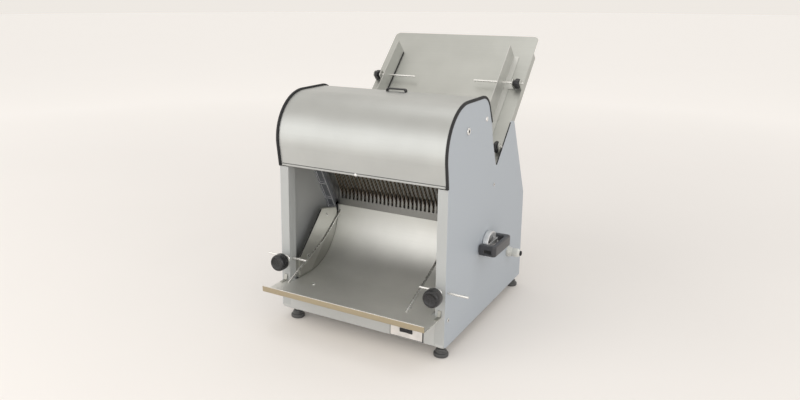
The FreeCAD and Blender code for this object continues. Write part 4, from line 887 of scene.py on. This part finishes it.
# name, place, size, power and colour
LAMPS = [("key", (-1.9, -2.6, 2.7), (3.0, 2.4), 24.0, (1.0, 0.99, 0.97)),
         ("band", (-0.6, -2.6, 1.9), (4.0, 1.3), 9.0, WHITE),
         ("front", (-0.9, -2.9, 0.8), (4.6, 1.5), 15.0, WHITE),
         ("fill", (1.5, -2.7, 1.0), (2.0, 1.4), 9.0, WHITE),
         ("top", (0.3, 0.4, 3.1), (2.8, 2.4), 14.0, WHITE),
         ("side", (2.8, -1.4, 1.4), (2.0, 2.2), 15.0, (0.96, 0.98, 1.0))]
MATT_LAMP = "key"                   # shows in no reflection
LENS = 32.435
SENSOR_WIDTH = 36.0
LENS_SHIFT = (0.0578, -0.0652)
CAMERA_PLACE = (0.8395, -1.6871, 0.8366)
CAMERA_DIP = 0.21285                # radians below the horizon
CAMERA_TURN = 0.54113


def seen_directly(tree):
    """1 for camera, glossy and transmission rays."""
    path = tree.nodes.new("ShaderNodeLightPath")
    total = path.outputs["Is Camera Ray"]
    for extra in ("Is Glossy Ray", "Is Transmission Ray"):
        total = math_node(tree, "MAXIMUM", total, path.outputs[extra])
    return total


def floor_material():
    """Pale floor; further out, where the lamps don't reach, it glows a little for the camera."""
    material, tree, shader = new_material("pale_floor")
    clouds = object_noise(tree, EVEN, scale=1.2, detail=2.0)
    tree.links.new(varied(tree, clouds, FLOOR_COLOUR, darkest=0.99, lightest=1.0),
                   shader.inputs["Base Color"])
    shader.inputs["Roughness"].default_value = 0.85
    shader.inputs["Specular IOR Level"].default_value = 0.1
    shader.inputs["Emission Color"].default_value = (*BACKDROP, 1.0)
    coords = tree.nodes.new("ShaderNodeTexCoord")
    distance = tree.nodes.new("ShaderNodeVectorMath")
    distance.operation = "LENGTH"
    tree.links.new(coords.outputs["Object"], distance.inputs[0])
    glow = math_node(tree, "MULTIPLY", ranged(tree, distance.outputs["Value"], *GLOW),
                     seen_directly(tree))
    tree.links.new(glow, shader.inputs["Emission Strength"])
    return material


def pale_floor():
    """Wide round floor under the object."""
    mesh = bmesh.new()
    bmesh.ops.create_circle(mesh, cap_ends=True, segments=FLOOR_SEGMENTS, radius=FLOOR_RADIUS)
    data = bpy.data.meshes.new("studio_floor")
    mesh.to_mesh(data)
    mesh.free()
    data.materials.append(floor_material())
    floor = bpy.data.objects.new("studio_floor", data)
    bpy.context.scene.collection.objects.link(floor)


def soft_lamp(name, place, size, power, colour):
    """Wide lamp that points at the object's middle."""
    lamp = bpy.data.lights.new(name, "AREA")
    lamp.shape = "RECTANGLE"
    lamp.size, lamp.size_y = size
    lamp.energy = power
    lamp.color = colour
    holder = bpy.data.objects.new(name, lamp)
    holder.location = place
    holder.rotation_euler = (Vector(HEART) - Vector(place)).to_track_quat("-Z", "Y").to_euler()
    holder.visible_glossy = name != MATT_LAMP
    bpy.context.scene.collection.objects.link(holder)


def studio_world():
    """Even light from all round; the camera and glossy rays see the backdrop's colour instead."""
    world = bpy.data.worlds.new("studio")
    bpy.context.scene.world = world
    world.use_nodes = True
    tree = world.node_tree
    ambient = tree.nodes["Background"]
    ambient.inputs["Color"].default_value = (*AMBIENT, 1.0)
    ambient.inputs["Strength"].default_value = AMBIENT_STRENGTH
    backdrop = tree.nodes.new("ShaderNodeBackground")
    backdrop.inputs["Color"].default_value = (*BACKDROP, 1.0)
    backdrop.inputs["Strength"].default_value = 1.0
    mix = tree.nodes.new("ShaderNodeMixShader")
    tree.links.new(seen_directly(tree), mix.inputs["Fac"])
    tree.links.new(ambient.outputs["Background"], mix.inputs[1])
    tree.links.new(backdrop.outputs["Background"], mix.inputs[2])
    tree.links.new(mix.outputs["Shader"], tree.nodes["World Output"].inputs["Surface"])


def studio_camera():
    """Camera before the right front corner, a little above the hood."""
    camera = bpy.data.cameras.new("camera")
    camera.lens = LENS
    camera.sensor_width = SENSOR_WIDTH
    camera.shift_x, camera.shift_y = LENS_SHIFT
    holder = bpy.data.objects.new("camera", camera)
    holder.location = CAMERA_PLACE
    holder.rotation_euler = (math.pi / 2 - CAMERA_DIP, 0.0, CAMERA_TURN)
    bpy.context.scene.collection.objects.link(holder)
    bpy.context.scene.camera = holder


pale_floor()
studio_world()
for lamp_row in LAMPS:
    soft_lamp(*lamp_row)
studio_camera()
bpy.context.scene.view_settings.view_transform = "Standard"
